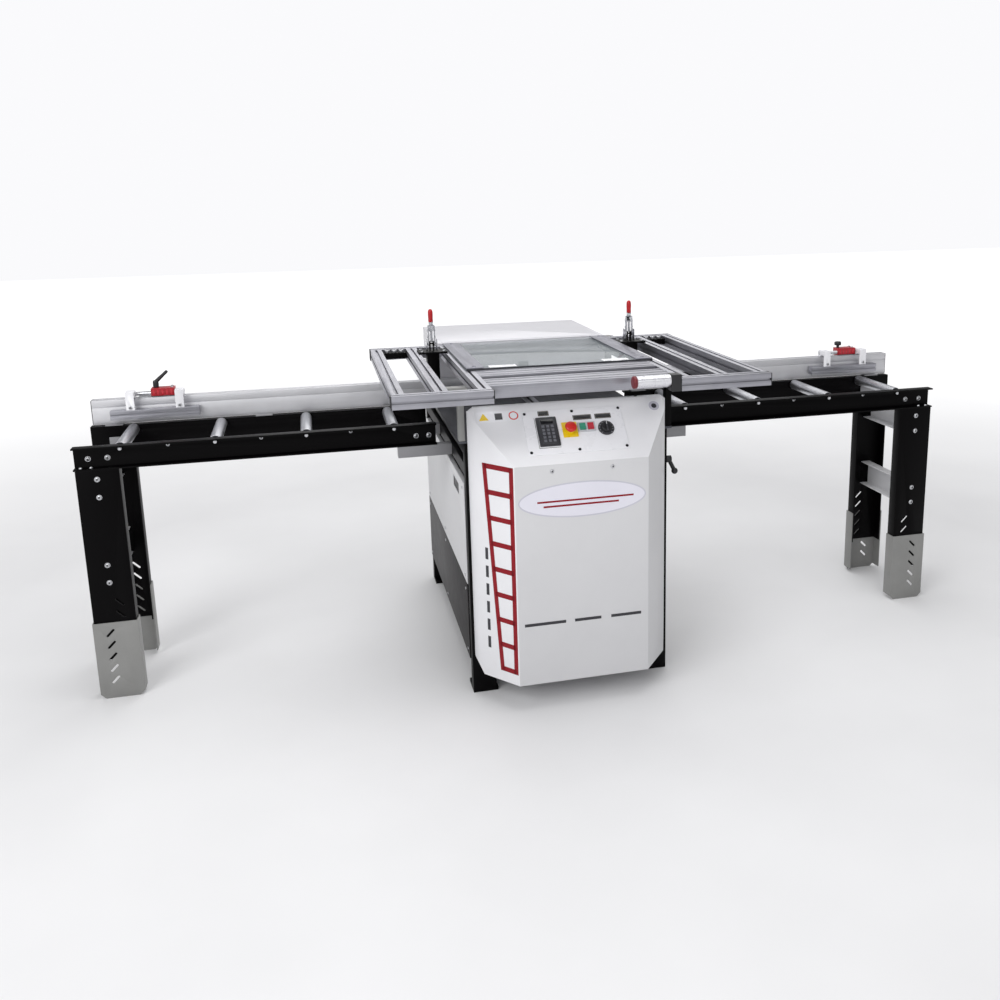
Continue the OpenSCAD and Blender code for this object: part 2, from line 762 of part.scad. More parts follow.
seat() base_frame();
seat() front_cover();
seat() body_panels();
seat() dust_port();
seat() side_lever();
seat() control_box();
seat() control_plate();
seat() control_bezels();
seat() label_plates();
seat() keypad();
seat() estop_base();
seat() estop_button();
seat() start_button();
seat() stop_button();
seat() speed_knob();
seat() fasteners();
seat() table_plate();
seat() table_insert();
seat() rear_hood();
seat() guard_posts();
seat() wing_left();
seat() wing_right();
seat() centre_bars();
seat() guard_sheet();
seat() sheet_strips();
seat() end_caps();
seat() lift_grip();
seat() clamp_bases();
seat() translate([-clamp_x, 0, 0]) clamp_handle();  // clamp_handle_left
seat() translate([clamp_x, 0, 0]) clamp_handle();  // clamp_handle_right
seat() translate([-clamp_x, 0, 0]) clamp_plunger();  // clamp_plunger_left
seat() translate([clamp_x, 0, 0]) clamp_plunger();  // clamp_plunger_right
seat() fence_beams();
seat() translate([-stop_x, 0, 0]) stop_carriage();  // stop_carriage_left
seat() translate([-stop_x, 0, 0]) stop_flag();  // stop_bar_left
seat() translate([-stop_x, 0, 0]) stop_lever();  // stop_lever_left
seat() translate([stop_x, 0, 0]) stop_carriage();  // stop_carriage_right
seat() translate([stop_x, 0, 0]) stop_flag();  // stop_bar_right
seat() translate([stop_x, 0, 0]) stop_knob();  // stop_knob_right
seat() steel_brackets();
seat() roller_rails();
seat() roller_axles();
seat() roller(-1, 0);  // roller_1
seat() roller(-1, 1);  // roller_2
seat() roller(-1, 2);  // roller_3
seat() roller(-1, 3);  // roller_4
seat() roller(1, 3);  // roller_5
seat() roller(1, 2);  // roller_6
seat() roller(1, 1);  // roller_7
seat() roller(1, 0);  // roller_8
seat() upper_legs();
seat() lower_legs();
seat() leg_braces();
seat() saw_rails();
seat() saw_deck();
seat() saw_motor();
seat() motor_pulley();
seat() drive_belt();
seat() arbor();
seat() saw_blade();
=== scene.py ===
# %% [markdown]
# # A through-feed crosscut saw
# The machine is a steel cabinet with a travelling saw under its table, roller outriggers on both
# sides, a fence with flip stops, and a slotted aluminium guard frame over the cut.
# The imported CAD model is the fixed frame. Its nodes say where every piece is, so the steps below
# only add shape and finish. We start by loading it and keeping its overall box.

# %% Load the frame
import json
import math
import bpy
from mathutils import Matrix, Vector

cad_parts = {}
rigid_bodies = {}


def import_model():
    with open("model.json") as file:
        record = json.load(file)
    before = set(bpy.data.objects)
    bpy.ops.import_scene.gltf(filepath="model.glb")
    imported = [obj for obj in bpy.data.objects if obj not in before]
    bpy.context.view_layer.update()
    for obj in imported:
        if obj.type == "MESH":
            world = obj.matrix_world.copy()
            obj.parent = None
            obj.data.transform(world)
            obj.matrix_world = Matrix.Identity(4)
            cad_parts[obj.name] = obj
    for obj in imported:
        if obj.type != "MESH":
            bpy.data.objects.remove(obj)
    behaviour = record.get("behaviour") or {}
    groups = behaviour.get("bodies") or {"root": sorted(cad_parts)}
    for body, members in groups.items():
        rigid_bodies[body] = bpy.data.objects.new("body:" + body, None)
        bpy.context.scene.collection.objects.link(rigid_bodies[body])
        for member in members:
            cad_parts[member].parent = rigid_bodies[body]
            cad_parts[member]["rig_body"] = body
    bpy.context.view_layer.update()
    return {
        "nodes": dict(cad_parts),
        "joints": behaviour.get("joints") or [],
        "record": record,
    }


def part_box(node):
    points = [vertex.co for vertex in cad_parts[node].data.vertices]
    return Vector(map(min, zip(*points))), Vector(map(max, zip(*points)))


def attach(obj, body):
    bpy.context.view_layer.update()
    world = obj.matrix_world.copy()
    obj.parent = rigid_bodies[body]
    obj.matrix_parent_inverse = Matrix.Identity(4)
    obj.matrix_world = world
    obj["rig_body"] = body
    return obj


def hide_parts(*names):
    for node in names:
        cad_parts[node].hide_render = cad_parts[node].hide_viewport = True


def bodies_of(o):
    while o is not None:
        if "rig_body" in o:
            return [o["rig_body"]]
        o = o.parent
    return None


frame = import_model()
nodes = frame["nodes"]
MM = 0.001

# %% [markdown]
# Operators act on everything that is selected, and the loaded nodes start out selected.
# So each step begins by clearing the selection, and then makes one piece the active one.

# %% Selection helpers
def clear_selection():
    if bpy.context.object and bpy.context.object.mode != "OBJECT":
        bpy.ops.object.mode_set(mode="OBJECT")
    for other in list(bpy.context.selected_objects):
        other.select_set(False)


def make_active(piece):
    clear_selection()
    piece.select_set(True)
    bpy.context.view_layer.objects.active = piece


clear_selection()

# %% [markdown]
# The camera stands at eye height, left of the cabinet, and looks a little down and to the right.
# Its direction comes from a yaw and a pitch, and a small roll levels the floor as a hand-held
# camera would. The shift keeps the picture's own framing.

# %% Camera
EYE = Vector((-0.8047, -3.6095, 1.6791))
YAW, PITCH, ROLL = 0.2470, -0.2190, -0.0160

forward = Vector((math.sin(YAW) * math.cos(PITCH), math.cos(YAW) * math.cos(PITCH), math.sin(PITCH)))
level_right = Vector((math.cos(YAW), -math.sin(YAW), 0))
level_up = level_right.cross(forward)
right = level_right * math.cos(ROLL) + level_up * math.sin(ROLL)
up = level_up * math.cos(ROLL) - level_right * math.sin(ROLL)

lens = bpy.data.cameras.new("eye_level")
lens.sensor_width = 36
lens.lens = 36.1
lens.shift_x = -0.0643
lens.shift_y = -0.0858
lens.clip_end = 60
camera = bpy.data.objects.new("eye_level", lens)
bpy.context.scene.collection.objects.link(camera)
turn = Matrix((right, up, -forward)).transposed().to_4x4()
camera.matrix_world = Matrix.Translation(EYE) @ turn
bpy.context.scene.camera = camera

# %% [markdown]
# Colours are picked as sRGB hex values, as on a paint card, and one function turns them into the
# linear values that the shaders use. One small function adds a shader node, sets its inputs and
# makes its links, and every material below is built with it.

# %% Colour and node helpers
def paint(code):
    channels = [int(code[i:i + 2], 16) / 255 for i in (1, 3, 5)]
    return [c / 12.92 if c <= 0.04045 else ((c + 0.055) / 1.055) ** 2.4 for c in channels] + [1.0]


def add(tree, kind, settings=(), **links):
    made = tree.nodes.new(kind)
    for key, value in dict(settings).items():
        if key in made.inputs:
            made.inputs[key].default_value = value
        else:
            setattr(made, key, value)
    for key, source in links.items():
        tree.links.new(source, made.inputs[key.replace("_", " ")])
    return made


def new_material(name):
    made = bpy.data.materials.new(name)
    made.use_nodes = True
    tree = made.node_tree
    return made, tree, tree.nodes["Principled BSDF"]


def ramp(tree, source, low, high, at=(0.35, 0.65)):
    made = add(tree, "ShaderNodeValToRGB", Fac=source)
    made.color_ramp.elements[0].position = at[0]
    made.color_ramp.elements[1].position = at[1]
    made.color_ramp.elements[0].color = low
    made.color_ramp.elements[1].color = high
    return made.outputs["Color"]


def grey(value):
    return [value, value, value, 1.0]

# %% [markdown]
# ## Powder coat
# Powder coat is sprayed on dry and baked, so it flows into a fine orange peel with cells of one
# or two millimetres, and its gloss drifts slightly over a panel. Noise at that real scale drives
# a faint bump, and a much broader noise moves the colour and the roughness.

# %% Powder coat
def powder_coat(name, code, shade, roughness, peel=1.6, depth=0.03, specular=0.5):
    made, tree, surface = new_material(name)
    spot = add(tree, "ShaderNodeTexCoord").outputs["Object"]
    cells = add(tree, "ShaderNodeTexNoise", {"Scale": 1 / (peel * MM), "Detail": 2.0}, Vector=spot)
    broad = add(tree, "ShaderNodeTexNoise", {"Scale": 5.0, "Detail": 5.0, "Roughness": 0.6}, Vector=spot)
    dust = add(tree, "ShaderNodeTexNoise", {"Scale": 24.0, "Detail": 6.0, "Roughness": 0.6}, Vector=spot)
    tree.links.new(ramp(tree, broad.outputs["Fac"], paint(shade), paint(code)), surface.inputs["Base Color"])
    gloss = ramp(tree, dust.outputs["Fac"], grey(roughness - 0.03), grey(roughness + 0.05), (0.2, 0.8))
    tree.links.new(gloss, surface.inputs["Roughness"])
    bump = add(tree, "ShaderNodeBump", {"Strength": depth, "Distance": 0.0003}, Height=cells.outputs["Fac"])
    tree.links.new(bump.outputs["Normal"], surface.inputs["Normal"])
    surface.inputs["Specular IOR Level"].default_value = specular
    return made


black_coat = powder_coat("black powder coat", "#030203", "#020102", 0.42, specular=0.08)
pale_coat = powder_coat("pale grey powder coat", "#D4D4D6", "#D1D1D3", 0.34, specular=0.35)
# A whiter copy of the pale coat: a painted highlight for the cover's slope and left slanted side.
painted_highlight_coat = powder_coat("pale coat with painted highlight", "#EDEDF0", "#E9E9EC", 0.30, specular=0.4)
bracket_coat = powder_coat("bracket grey coat", "#8F8F92", "#88888B", 0.36, specular=0.4)
shade_coat = powder_coat("charcoal panel coat", "#1D1A1B", "#191617", 0.42, specular=0.15)
white_coat = powder_coat("off-white powder coat", "#CDCCD1", "#C8C7CC", 0.32, specular=0.4)
grey_coat = powder_coat("grey powder coat", "#8E8E8C", "#858583", 0.42)
motor_enamel = powder_coat("blue-grey motor enamel", "#3C4B5C", "#344252", 0.38, peel=3.0)
red_enamel = powder_coat("red enamel", "#AA1C28", "#A01822", 0.30, peel=2.0)
graphic_red = powder_coat("dark red vinyl film", "#8E0A1A", "#880818", 0.34, peel=4.0, depth=0.01,
                          specular=0.25)
silver_film = powder_coat("silver vinyl film", "#E3E2EC", "#DFDEE8", 0.3, peel=4.0, depth=0.01)
rim_film = powder_coat("grey vinyl film", "#C6C5D0", "#C1C0CB", 0.3, peel=4.0, depth=0.01)
dark_film = powder_coat("charcoal vinyl film", "#2E2D33", "#29282E", 0.3, peel=4.0, depth=0.01)

# %% [markdown]
# ## Anodised aluminium
# Extruded bars keep faint die lines along their length under the anodising. The noise is stretched
# along the bar with a Mapping node: slow along it and fast across it. The lines lift the roughness
# and the colour a little, and a metal keeps its default IOR.

# %% Anodised aluminium
def drawn_metal(name, code, shade, roughness, along, line=1.4, depth=0.12):
    made, tree, surface = new_material(name)
    spot = add(tree, "ShaderNodeTexCoord").outputs["Object"]
    across = 1 / (line * MM)
    stretch = [2.0 if axis == along else across for axis in "XYZ"]
    laid = add(tree, "ShaderNodeMapping", {"Scale": stretch}, Vector=spot)
    lines = add(tree, "ShaderNodeTexNoise", {"Scale": 1.0, "Detail": 3.0, "Roughness": 0.55},
                Vector=laid.outputs["Vector"])
    broad = add(tree, "ShaderNodeTexNoise", {"Scale": 9.0, "Detail": 4.0}, Vector=spot)
    mixed = add(tree, "ShaderNodeMath", {"operation": "MULTIPLY"})
    tree.links.new(lines.outputs["Fac"], mixed.inputs[0])
    tree.links.new(broad.outputs["Fac"], mixed.inputs[1])
    tree.links.new(ramp(tree, mixed.outputs["Value"], paint(shade), paint(code), (0.12, 0.4)),
                   surface.inputs["Base Color"])
    gloss = ramp(tree, lines.outputs["Fac"], grey(roughness - 0.07), grey(roughness + 0.09))
    tree.links.new(gloss, surface.inputs["Roughness"])
    bump = add(tree, "ShaderNodeBump", {"Strength": depth, "Distance": 0.0001}, Height=lines.outputs["Fac"])
    tree.links.new(bump.outputs["Normal"], surface.inputs["Normal"])
    surface.inputs["Metallic"].default_value = 1.0
    return made


bar_x_metal = drawn_metal("anodised aluminium along X", "#ADADB4", "#9999A0", 0.40, "X")
bar_y_metal = drawn_metal("anodised aluminium along Y", "#B6B6BC", "#A2A2A9", 0.40, "Y")
fence_metal = drawn_metal("anodised fence extrusion", "#DCDCDF", "#CFCFD2", 0.58, "X", line=2.2)
drawn_steel = drawn_metal("bright drawn steel", "#BDBEC3", "#A9AAB0", 0.26, "X", line=0.9)

# %% [markdown]
# ## Zinc plate and bright steel
# Bolts, axles and roller tubes are zinc plated. Plating has a fine crystalline mottle, so a Voronoi
# cell pattern of a few millimetres shifts its brightness slightly. The rollers also carry rings
# worn by the timber, which a noise stretched round the tube gives.

# %% Zinc
def zinc_plate(name, code, shade, roughness, cell=5.0):
    made, tree, surface = new_material(name)
    spot = add(tree, "ShaderNodeTexCoord").outputs["Object"]
    flakes = add(tree, "ShaderNodeTexVoronoi", {"Scale": 1 / (cell * MM)}, Vector=spot)
    smear = add(tree, "ShaderNodeTexNoise", {"Scale": 45.0, "Detail": 5.0, "Roughness": 0.65}, Vector=spot)
    rings = add(tree, "ShaderNodeMapping", {"Scale": [2.0, 160.0, 2.0]}, Vector=spot)
    worn = add(tree, "ShaderNodeTexNoise", {"Scale": 1.0, "Detail": 4.0}, Vector=rings.outputs["Vector"])
    mottle = add(tree, "ShaderNodeMath", {"operation": "ADD"})
    tree.links.new(flakes.outputs["Distance"], mottle.inputs[0])
    tree.links.new(worn.outputs["Fac"], mottle.inputs[1])
    tree.links.new(ramp(tree, mottle.outputs["Value"], paint(shade), paint(code), (0.5, 1.2)),
                   surface.inputs["Base Color"])
    gloss = ramp(tree, smear.outputs["Fac"], grey(roughness - 0.04), grey(roughness + 0.08), (0.2, 0.8))
    tree.links.new(gloss, surface.inputs["Roughness"])
    surface.inputs["Metallic"].default_value = 1.0
    return made


zinc = zinc_plate("zinc plated steel", "#CACBCE", "#A8A9AD", 0.32)
roller_zinc = zinc_plate("zinc plated roller tube", "#C8C9CD", "#B6B7BC", 0.36, cell=9.0)
bright_plate = zinc_plate("bright plated steel", "#D5D6DA", "#B2B3B8", 0.20, cell=4.0)

# %% [markdown]
# ## Moulded plastic, rubber and clear sheet
# Moulded plastic takes a spark-eroded texture from its tool, about half a millimetre across.
# Polycarbonate is clear and glossy, with a faint haze of wiping marks in its gloss. It is shown
# with a low alpha.

# %% Plastics
def moulded(name, code, shade, roughness, grain=0.9, depth=0.12):
    made, tree, surface = new_material(name)
    spot = add(tree, "ShaderNodeTexCoord").outputs["Object"]
    texture = add(tree, "ShaderNodeTexNoise", {"Scale": 1 / (grain * MM), "Detail": 3.0}, Vector=spot)
    broad = add(tree, "ShaderNodeTexNoise", {"Scale": 30.0, "Detail": 4.0}, Vector=spot)
    tree.links.new(ramp(tree, broad.outputs["Fac"], paint(shade), paint(code)), surface.inputs["Base Color"])
    gloss = ramp(tree, broad.outputs["Fac"], grey(roughness - 0.05), grey(roughness + 0.08))
    tree.links.new(gloss, surface.inputs["Roughness"])
    bump = add(tree, "ShaderNodeBump", {"Strength": depth, "Distance": 0.0002}, Height=texture.outputs["Fac"])
    tree.links.new(bump.outputs["Normal"], surface.inputs["Normal"])
    return made


black_abs = moulded("black ABS", "#1A1A1D", "#141417", 0.42)
dark_grey_abs = moulded("dark grey ABS", "#37373C", "#303035", 0.45)
key_abs = moulded("grey keycap ABS", "#6E6F76", "#66676E", 0.4)
pale_abs = moulded("pale grey ABS", "#C9CACE", "#C3C4C9", 0.4)
white_laminate = moulded("white laminate", "#F0F0F4", "#EEEEF2", 0.3, depth=0.02)
yellow_pc = moulded("yellow polycarbonate moulding", "#EFCB10", "#EAC60C", 0.3)
red_pc = moulded("red polycarbonate moulding", "#D22A22", "#C8241E", 0.26)
dark_red_pc = moulded("red lens", "#C23A46", "#BA3440", 0.22)
green_pc = moulded("green lens", "#3E9479", "#388A70", 0.24)
red_vinyl = moulded("red dipped vinyl", "#B80E18", "#AC0B14", 0.3, depth=0.05)
maroon_abs = moulded("maroon end plug", "#6E1420", "#5E101A", 0.35)
black_rubber = moulded("black rubber", "#151515", "#0F0F0F", 0.75, grain=1.5, depth=0.3)


def clear_polycarbonate():
    made, tree, surface = new_material("clear polycarbonate")
    spot = add(tree, "ShaderNodeTexCoord").outputs["Object"]
    wiped = add(tree, "ShaderNodeTexNoise", {"Scale": 14.0, "Detail": 8.0, "Roughness": 0.75}, Vector=spot)
    gloss = ramp(tree, wiped.outputs["Fac"], grey(0.04), grey(0.14), (0.4, 0.8))
    tree.links.new(gloss, surface.inputs["Roughness"])
    surface.inputs["Base Color"].default_value = paint("#C9D2D6")
    surface.inputs["IOR"].default_value = 1.585
    surface.inputs["Alpha"].default_value = 0.26
    return made


clear_sheet = clear_polycarbonate()
black_glass = moulded("smoked display window", "#0C0D10", "#08090B", 0.12, depth=0.01)
label_line = moulded("engraved pale laminate core", "#B9B2A8", "#ABA499", 0.35, depth=0.03)
grey_strip = drawn_metal("grey anodised strip", "#8E8E97", "#7D7D86", 0.4, "Y")
white_enamel = powder_coat("white enamel", "#EDEDF0", "#E4E4E8", 0.28, peel=2.0)
# A brighter copy of the red enamel: a painted highlight on the ribs of the stop blocks.
painted_highlight_red = powder_coat("red enamel with painted highlight", "#C22C38", "#B82632", 0.24, peel=2.0)
bright_sleeve = zinc_plate("satin nickel sleeve", "#E6E6EA", "#C9C9CF", 0.3, cell=6.0)
black_zinc = zinc_plate("black zinc", "#232326", "#17171A", 0.38)
carbide = zinc_plate("sintered carbide", "#8E8F96", "#75767D", 0.3, cell=1.5)
dark_table = drawn_metal("blued table steel", "#5A5B60", "#4C4D52", 0.42, "Y", line=1.0)

# %% [markdown]
# ## Saw steel
# A blade is ground while it spins, so its marks run in circles round the arbor. The distance from
# the arbor's axis drives the noise, and the marks follow from that.

# %% Saw steel
def ground_disc(name, centre):
    made, tree, surface = new_material(name)
    spot = add(tree, "ShaderNodeTexCoord").outputs["Object"]
    centred = add(tree, "ShaderNodeMapping", {"Location": -centre}, Vector=spot)
    flat = add(tree, "ShaderNodeVectorMath", {"operation": "MULTIPLY"})
    tree.links.new(centred.outputs["Vector"], flat.inputs[0])
    flat.inputs[1].default_value = (0, 1, 1)
    radius = add(tree, "ShaderNodeVectorMath", {"operation": "LENGTH"}, Vector=flat.outputs["Vector"])
    marks = add(tree, "ShaderNodeTexNoise", {"noise_dimensions": "1D", "Scale": 700.0, "Detail": 3.0})
    tree.links.new(radius.outputs["Value"], marks.inputs["W"])
    tree.links.new(ramp(tree, marks.outputs["Fac"], paint("#A5A6AB"), paint("#C9CACE")),
                   surface.inputs["Base Color"])
    tree.links.new(ramp(tree, marks.outputs["Fac"], grey(0.2), grey(0.34)), surface.inputs["Roughness"])
    surface.inputs["Metallic"].default_value = 1.0
    return made


blade_low, blade_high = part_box("saw_blade")
blade_steel = ground_disc("ground saw steel", (blade_low + blade_high) / 2)

# %% [markdown]
# Every CAD node first gets the finish that its real piece has. Later steps replace some of them
# with pieces that carry more shape.

# %% Finish of each CAD node
FINISH = {
    "base_frame": black_coat, "front_cover": pale_coat, "body_panels": pale_coat,
    "dust_port": black_abs, "side_lever": black_abs, "control_box": grey_coat,
    "control_plate": white_laminate, "control_bezels": dark_grey_abs, "label_plates": black_abs,
    "keypad": dark_grey_abs, "estop_base": yellow_pc, "estop_button": red_pc,
    "start_button": green_pc, "stop_button": dark_red_pc, "speed_knob": black_abs,
    "fasteners": zinc, "table_plate": dark_table, "table_insert": bar_y_metal,
    "rear_hood": white_coat, "guard_posts": grey_coat, "wing_left": bar_y_metal,
    "wing_right": bar_y_metal, "centre_bars": bar_x_metal, "guard_sheet": clear_sheet,
    "sheet_strips": grey_strip, "end_caps": black_abs, "lift_grip": bar_x_metal,
    "clamp_bases": black_coat, "clamp_handle_left": bright_plate, "clamp_handle_right": bright_plate,
    "clamp_plunger_left": bright_plate, "clamp_plunger_right": bright_plate,
    "fence_beams": fence_metal, "stop_carriage_left": red_enamel, "stop_carriage_right": red_enamel,
    "stop_bar_left": bar_x_metal, "stop_bar_right": bar_x_metal, "stop_lever_left": black_abs,
    "stop_knob_right": black_abs, "steel_brackets": bracket_coat, "roller_rails": black_coat,
    "roller_axles": zinc, "upper_legs": black_coat, "lower_legs": grey_coat, "leg_braces": pale_coat,
    "saw_rails": drawn_steel, "saw_deck": grey_coat, "saw_motor": motor_enamel,
    "motor_pulley": drawn_steel, "drive_belt": black_rubber, "arbor": drawn_steel,
    "saw_blade": blade_steel}
FINISH.update({f"roller_{n}": roller_zinc for n in range(1, 9)})


def coat(piece, material):
    piece.data.materials.clear()
    piece.data.materials.append(material)


for name, material in FINISH.items():
    coat(nodes[name], material)
print(len(FINISH), "nodes finished")

# %% [markdown]
# ## Rounded edges
# No real edge is perfectly sharp: sheet metal is folded over a radius, and bars and castings are
# broken with a file. A CAD node's mesh is loose triangles, so a copy of it is merged first, its
# flat faces are joined into single faces, and then a Bevel modifier rounds every sharp edge.

# %% Edge rounding and placing
def apply_modifier(piece, kind, **settings):
    make_active(piece)
    modifier = piece.modifiers.new(kind.lower(), kind)
    for key, value in settings.items():
        setattr(modifier, key, value)
    bpy.ops.object.modifier_apply(modifier=modifier.name)


def smooth(piece, angle=35):
    make_active(piece)
    bpy.ops.object.shade_smooth_by_angle(angle=math.radians(angle))


def round_edges(piece, edge, segments=2):
    apply_modifier(piece, "BEVEL", width=edge * MM, segments=segments, limit_method="ANGLE",
                   angle_limit=math.radians(28), use_clamp_overlap=True)
    smooth(piece)


def body_of(node):
    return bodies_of(nodes[node])[0]


SLOTS = {row["node"]: row["material_slot"] for row in frame["record"]["subparts"]}


def settle(piece, body, slot, *stands_for):
    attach(piece, body)
    if stands_for:
        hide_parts(*stands_for)
    clear_selection()
    return piece


def merged_copy(node, name):
    piece = bpy.data.objects.new(name, nodes[node].data.copy())
    bpy.context.scene.collection.objects.link(piece)
    make_active(piece)
    bpy.ops.object.mode_set(mode="EDIT")
    bpy.ops.mesh.select_all(action="SELECT")
    bpy.ops.mesh.remove_doubles(threshold=0.01 * MM)
    bpy.ops.mesh.dissolve_limited(angle_limit=math.radians(0.6))
    bpy.ops.object.mode_set(mode="OBJECT")
    return piece


def rounded(node, edge, name, segments=2):
    piece = merged_copy(node, name)
    round_edges(piece, edge, segments)
    coat(piece, FINISH[node])
    return settle(piece, body_of(node), SLOTS[node], node)


def paint_where(piece, material, inside):
    piece.data.materials.append(material)
    index = len(piece.data.materials) - 1
    for face in piece.data.polygons:
        if inside(face.center):
            face.material_index = index

# %% [markdown]
# Plain welded, folded and machined pieces only need their edges, each with the radius that its
# process leaves: about 1.5 mm on a welded frame, 1 mm on folded sheet, and a few tenths on an
# extrusion or a machined block.

# %% Frame, legs, rails and hidden machine parts
EDGES = {
    "base_frame": (2.0, "welded_frame"), "control_box": (1.0, "electrical_box"),
    "table_plate": (0.8, "saw_table"), "table_insert": (0.4, "kerf_insert"),
    "guard_posts": (1.2, "guard_post_set"), "end_caps": (0.6, "profile_end_caps"),
    "steel_brackets": (1.2, "bracket_set"), "roller_rails": (1.0, "outrigger_rails"),
    "upper_legs": (1.0, "outrigger_legs"), "lower_legs": (1.0, "leg_extensions"),
    "leg_braces": (1.0, "leg_cross_braces"), "saw_rails": (0.6, "slide_rails"),
    "saw_deck": (0.8, "carriage_deck"), "saw_motor": (0.5, "induction_motor"),
    "motor_pulley": (0.4, "motor_drive_pulley"), "arbor": (0.4, "saw_arbor"),
    "dust_port": (0.8, "dust_spigot"), "side_lever": (0.8, "side_lever_arm"),
    "control_plate": (0.5, "control_panel_plate"), "control_bezels": (0.8, "switch_bezels"),
    "drive_belt": (0.8, "ribbed_drive_belt")}
made = {node: rounded(node, edge, name) for node, (edge, name) in EDGES.items()}
print(len(made), "pieces rounded,", sum(len(p.data.polygons) for p in made.values()), "faces")

# %% [markdown]
# The bracket that carries the guard at the right front is black, and the bezel round the two push
# buttons is pale. Both belong to a node of several pieces, so only their own faces are painted.

# %% Second finishes
paint_where(made["guard_posts"], black_coat, lambda c: c.x > 0 and c.y < 0)
bezel_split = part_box("control_bezels")[1].x - 60 * MM
paint_where(made["control_bezels"], pale_abs, lambda c: c.x < bezel_split)

# %% [markdown]
# ## Starting shapes
# New pieces start as a primitive and are shaped by operators. A block is a cube at its real
# corners. A round piece starts as a filled circle that is extruded and resized step by step, as a
# lathe would cut it, and is then stood where it belongs. Extruding through zero height gives a
# shoulder.

# %% Blocks and turned pieces
def apply_place(piece):
    make_active(piece)
    bpy.ops.object.transform_apply(location=True, rotation=True, scale=True)


def block(name, low, high, edge=0.0, segments=2):
    low, high = Vector(low), Vector(high)
    clear_selection()
    bpy.ops.mesh.primitive_cube_add(size=1, location=(low + high) / 2)
    piece = bpy.context.object
    piece.name = name
    piece.scale = high - low
    apply_place(piece)
    if edge:
        round_edges(piece, edge, segments)
    return piece


def outward(piece):
    make_active(piece)
    bpy.ops.object.mode_set(mode="EDIT")
    bpy.ops.mesh.select_all(action="SELECT")
    bpy.ops.mesh.normals_make_consistent(inside=False)
    bpy.ops.object.mode_set(mode="OBJECT")


def stand(piece, place, direction):
    turned_to = Vector(direction).to_track_quat("Z", "Y").to_matrix().to_4x4()
    piece.matrix_world = Matrix.Translation(place) @ turned_to
    apply_place(piece)


def turned(name, outline, place=(0, 0, 0), direction=(0, 0, 1), sides=48):
    clear_selection()
    height, radius = outline[0]
    bpy.ops.mesh.primitive_circle_add(vertices=sides, radius=radius * MM, fill_type="NGON",
                                      location=(0, 0, height * MM))
    piece = bpy.context.object
    piece.name = name
    apply_place(piece)
    bpy.ops.object.mode_set(mode="EDIT")
    bpy.ops.mesh.select_all(action="SELECT")
    for next_height, next_radius in outline[1:]:
        rise = (next_height - height) * MM
        bpy.ops.mesh.extrude_region_move(TRANSFORM_OT_translate={"value": (0, 0, rise)})
        grow = next_radius / radius
        bpy.ops.transform.resize(value=(grow, grow, 1), center_override=(0, 0, 0))
        height, radius = next_height, next_radius
    bpy.ops.object.mode_set(mode="OBJECT")
    outward(piece)
    smooth(piece)
    stand(piece, place, direction)
    return piece


def dome_outline(radius, height, base=0.0, steps=6):
    angles = [math.radians(90 * i / steps) for i in range(steps)]
    return [(base + height * math.sin(a), radius * math.cos(a)) for a in angles] + [
        (base + height, radius * 0.06)]


def joined(name, parts):
    make_active(parts[0])
    for part in parts[1:]:
        part.select_set(True)
    bpy.ops.object.join()
    parts[0].name = name
    parts[0].data.name = name
    return parts[0]


def copy_of(piece, name):
    made = piece.copy()
    made.data = piece.data.copy()
    made.name = name
    bpy.context.scene.collection.objects.link(made)
    return made


def corner(node, direction):
    """The point of a node that lies furthest in a direction."""
    way = Vector(direction)
    return max((v.co for v in nodes[node].data.vertices), key=lambda point: point.dot(way)).copy()


# %% [markdown]
# ## Front cover
# The cover is one sheet of steel folded into a faceted box: a flat front, two slanted sides, two
# narrow returns and the control slope. The CAD shell is right, so a copy of it gets folded radii.
# Its graphics are vinyl film, cut out and stuck on, so each is a thin solid standing a third of a
# millimetre proud, and the shapes here are plain bars and an oval.

# %% Cover shell
cover = rounded("front_cover", 1.6, "folded_front_cover", segments=3)
crease_right = corner("front_cover", (1, -4, 0.5))
fold_right = corner("front_cover", (0.9, -0.44, 0))
cover_low, cover_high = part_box("front_cover")
# The slope and the left slanted side are painted whiter than the front: a painted highlight.
slanted = -crease_right.x - 0.5 * MM
paint_where(cover, painted_highlight_coat, lambda c: c.z > crease_right.z + 5 * MM or
            (c.x < slanted and c.y < fold_right.y + 0.055 and 0.2 < c.z))
print("flat front", round(2 * crease_right.x, 3), "m wide, crease at", round(crease_right.z, 3), "m")

# %% [markdown]
# A film is modelled flat, in its own width and height, and then stood against the cover. On the
# left slanted side, across runs from the side fold to the front fold. Its film is a plain ladder
# of bars. A bar that leans is a cube whose top vertices are moved sideways.

# %% Film graphics
FILM = 0.3


def film_bar(across, along, lean=0.0):
    """A bar of film in its own plane, from and to in metres, leaning by so much at its top."""
    bar = block("film_bar", (across[0], along[0], 0), (across[1], along[1], FILM * MM))
    for vertex in bar.data.vertices:
        share = (vertex.co.y - along[0]) / (along[1] - along[0])
        vertex.co.x += lean * share
    return bar


def against(piece, origin, across, above):
    """Stands a flat piece on a face, across and above being its directions there."""
    across, above = Vector(across).normalized(), Vector(above).normalized()
    out = across.cross(above)
    turn = Matrix((across, above, out)).transposed().to_4x4()
    piece.matrix_world = Matrix.Translation(Vector(origin) + out * 0.0001) @ turn
    apply_place(piece)


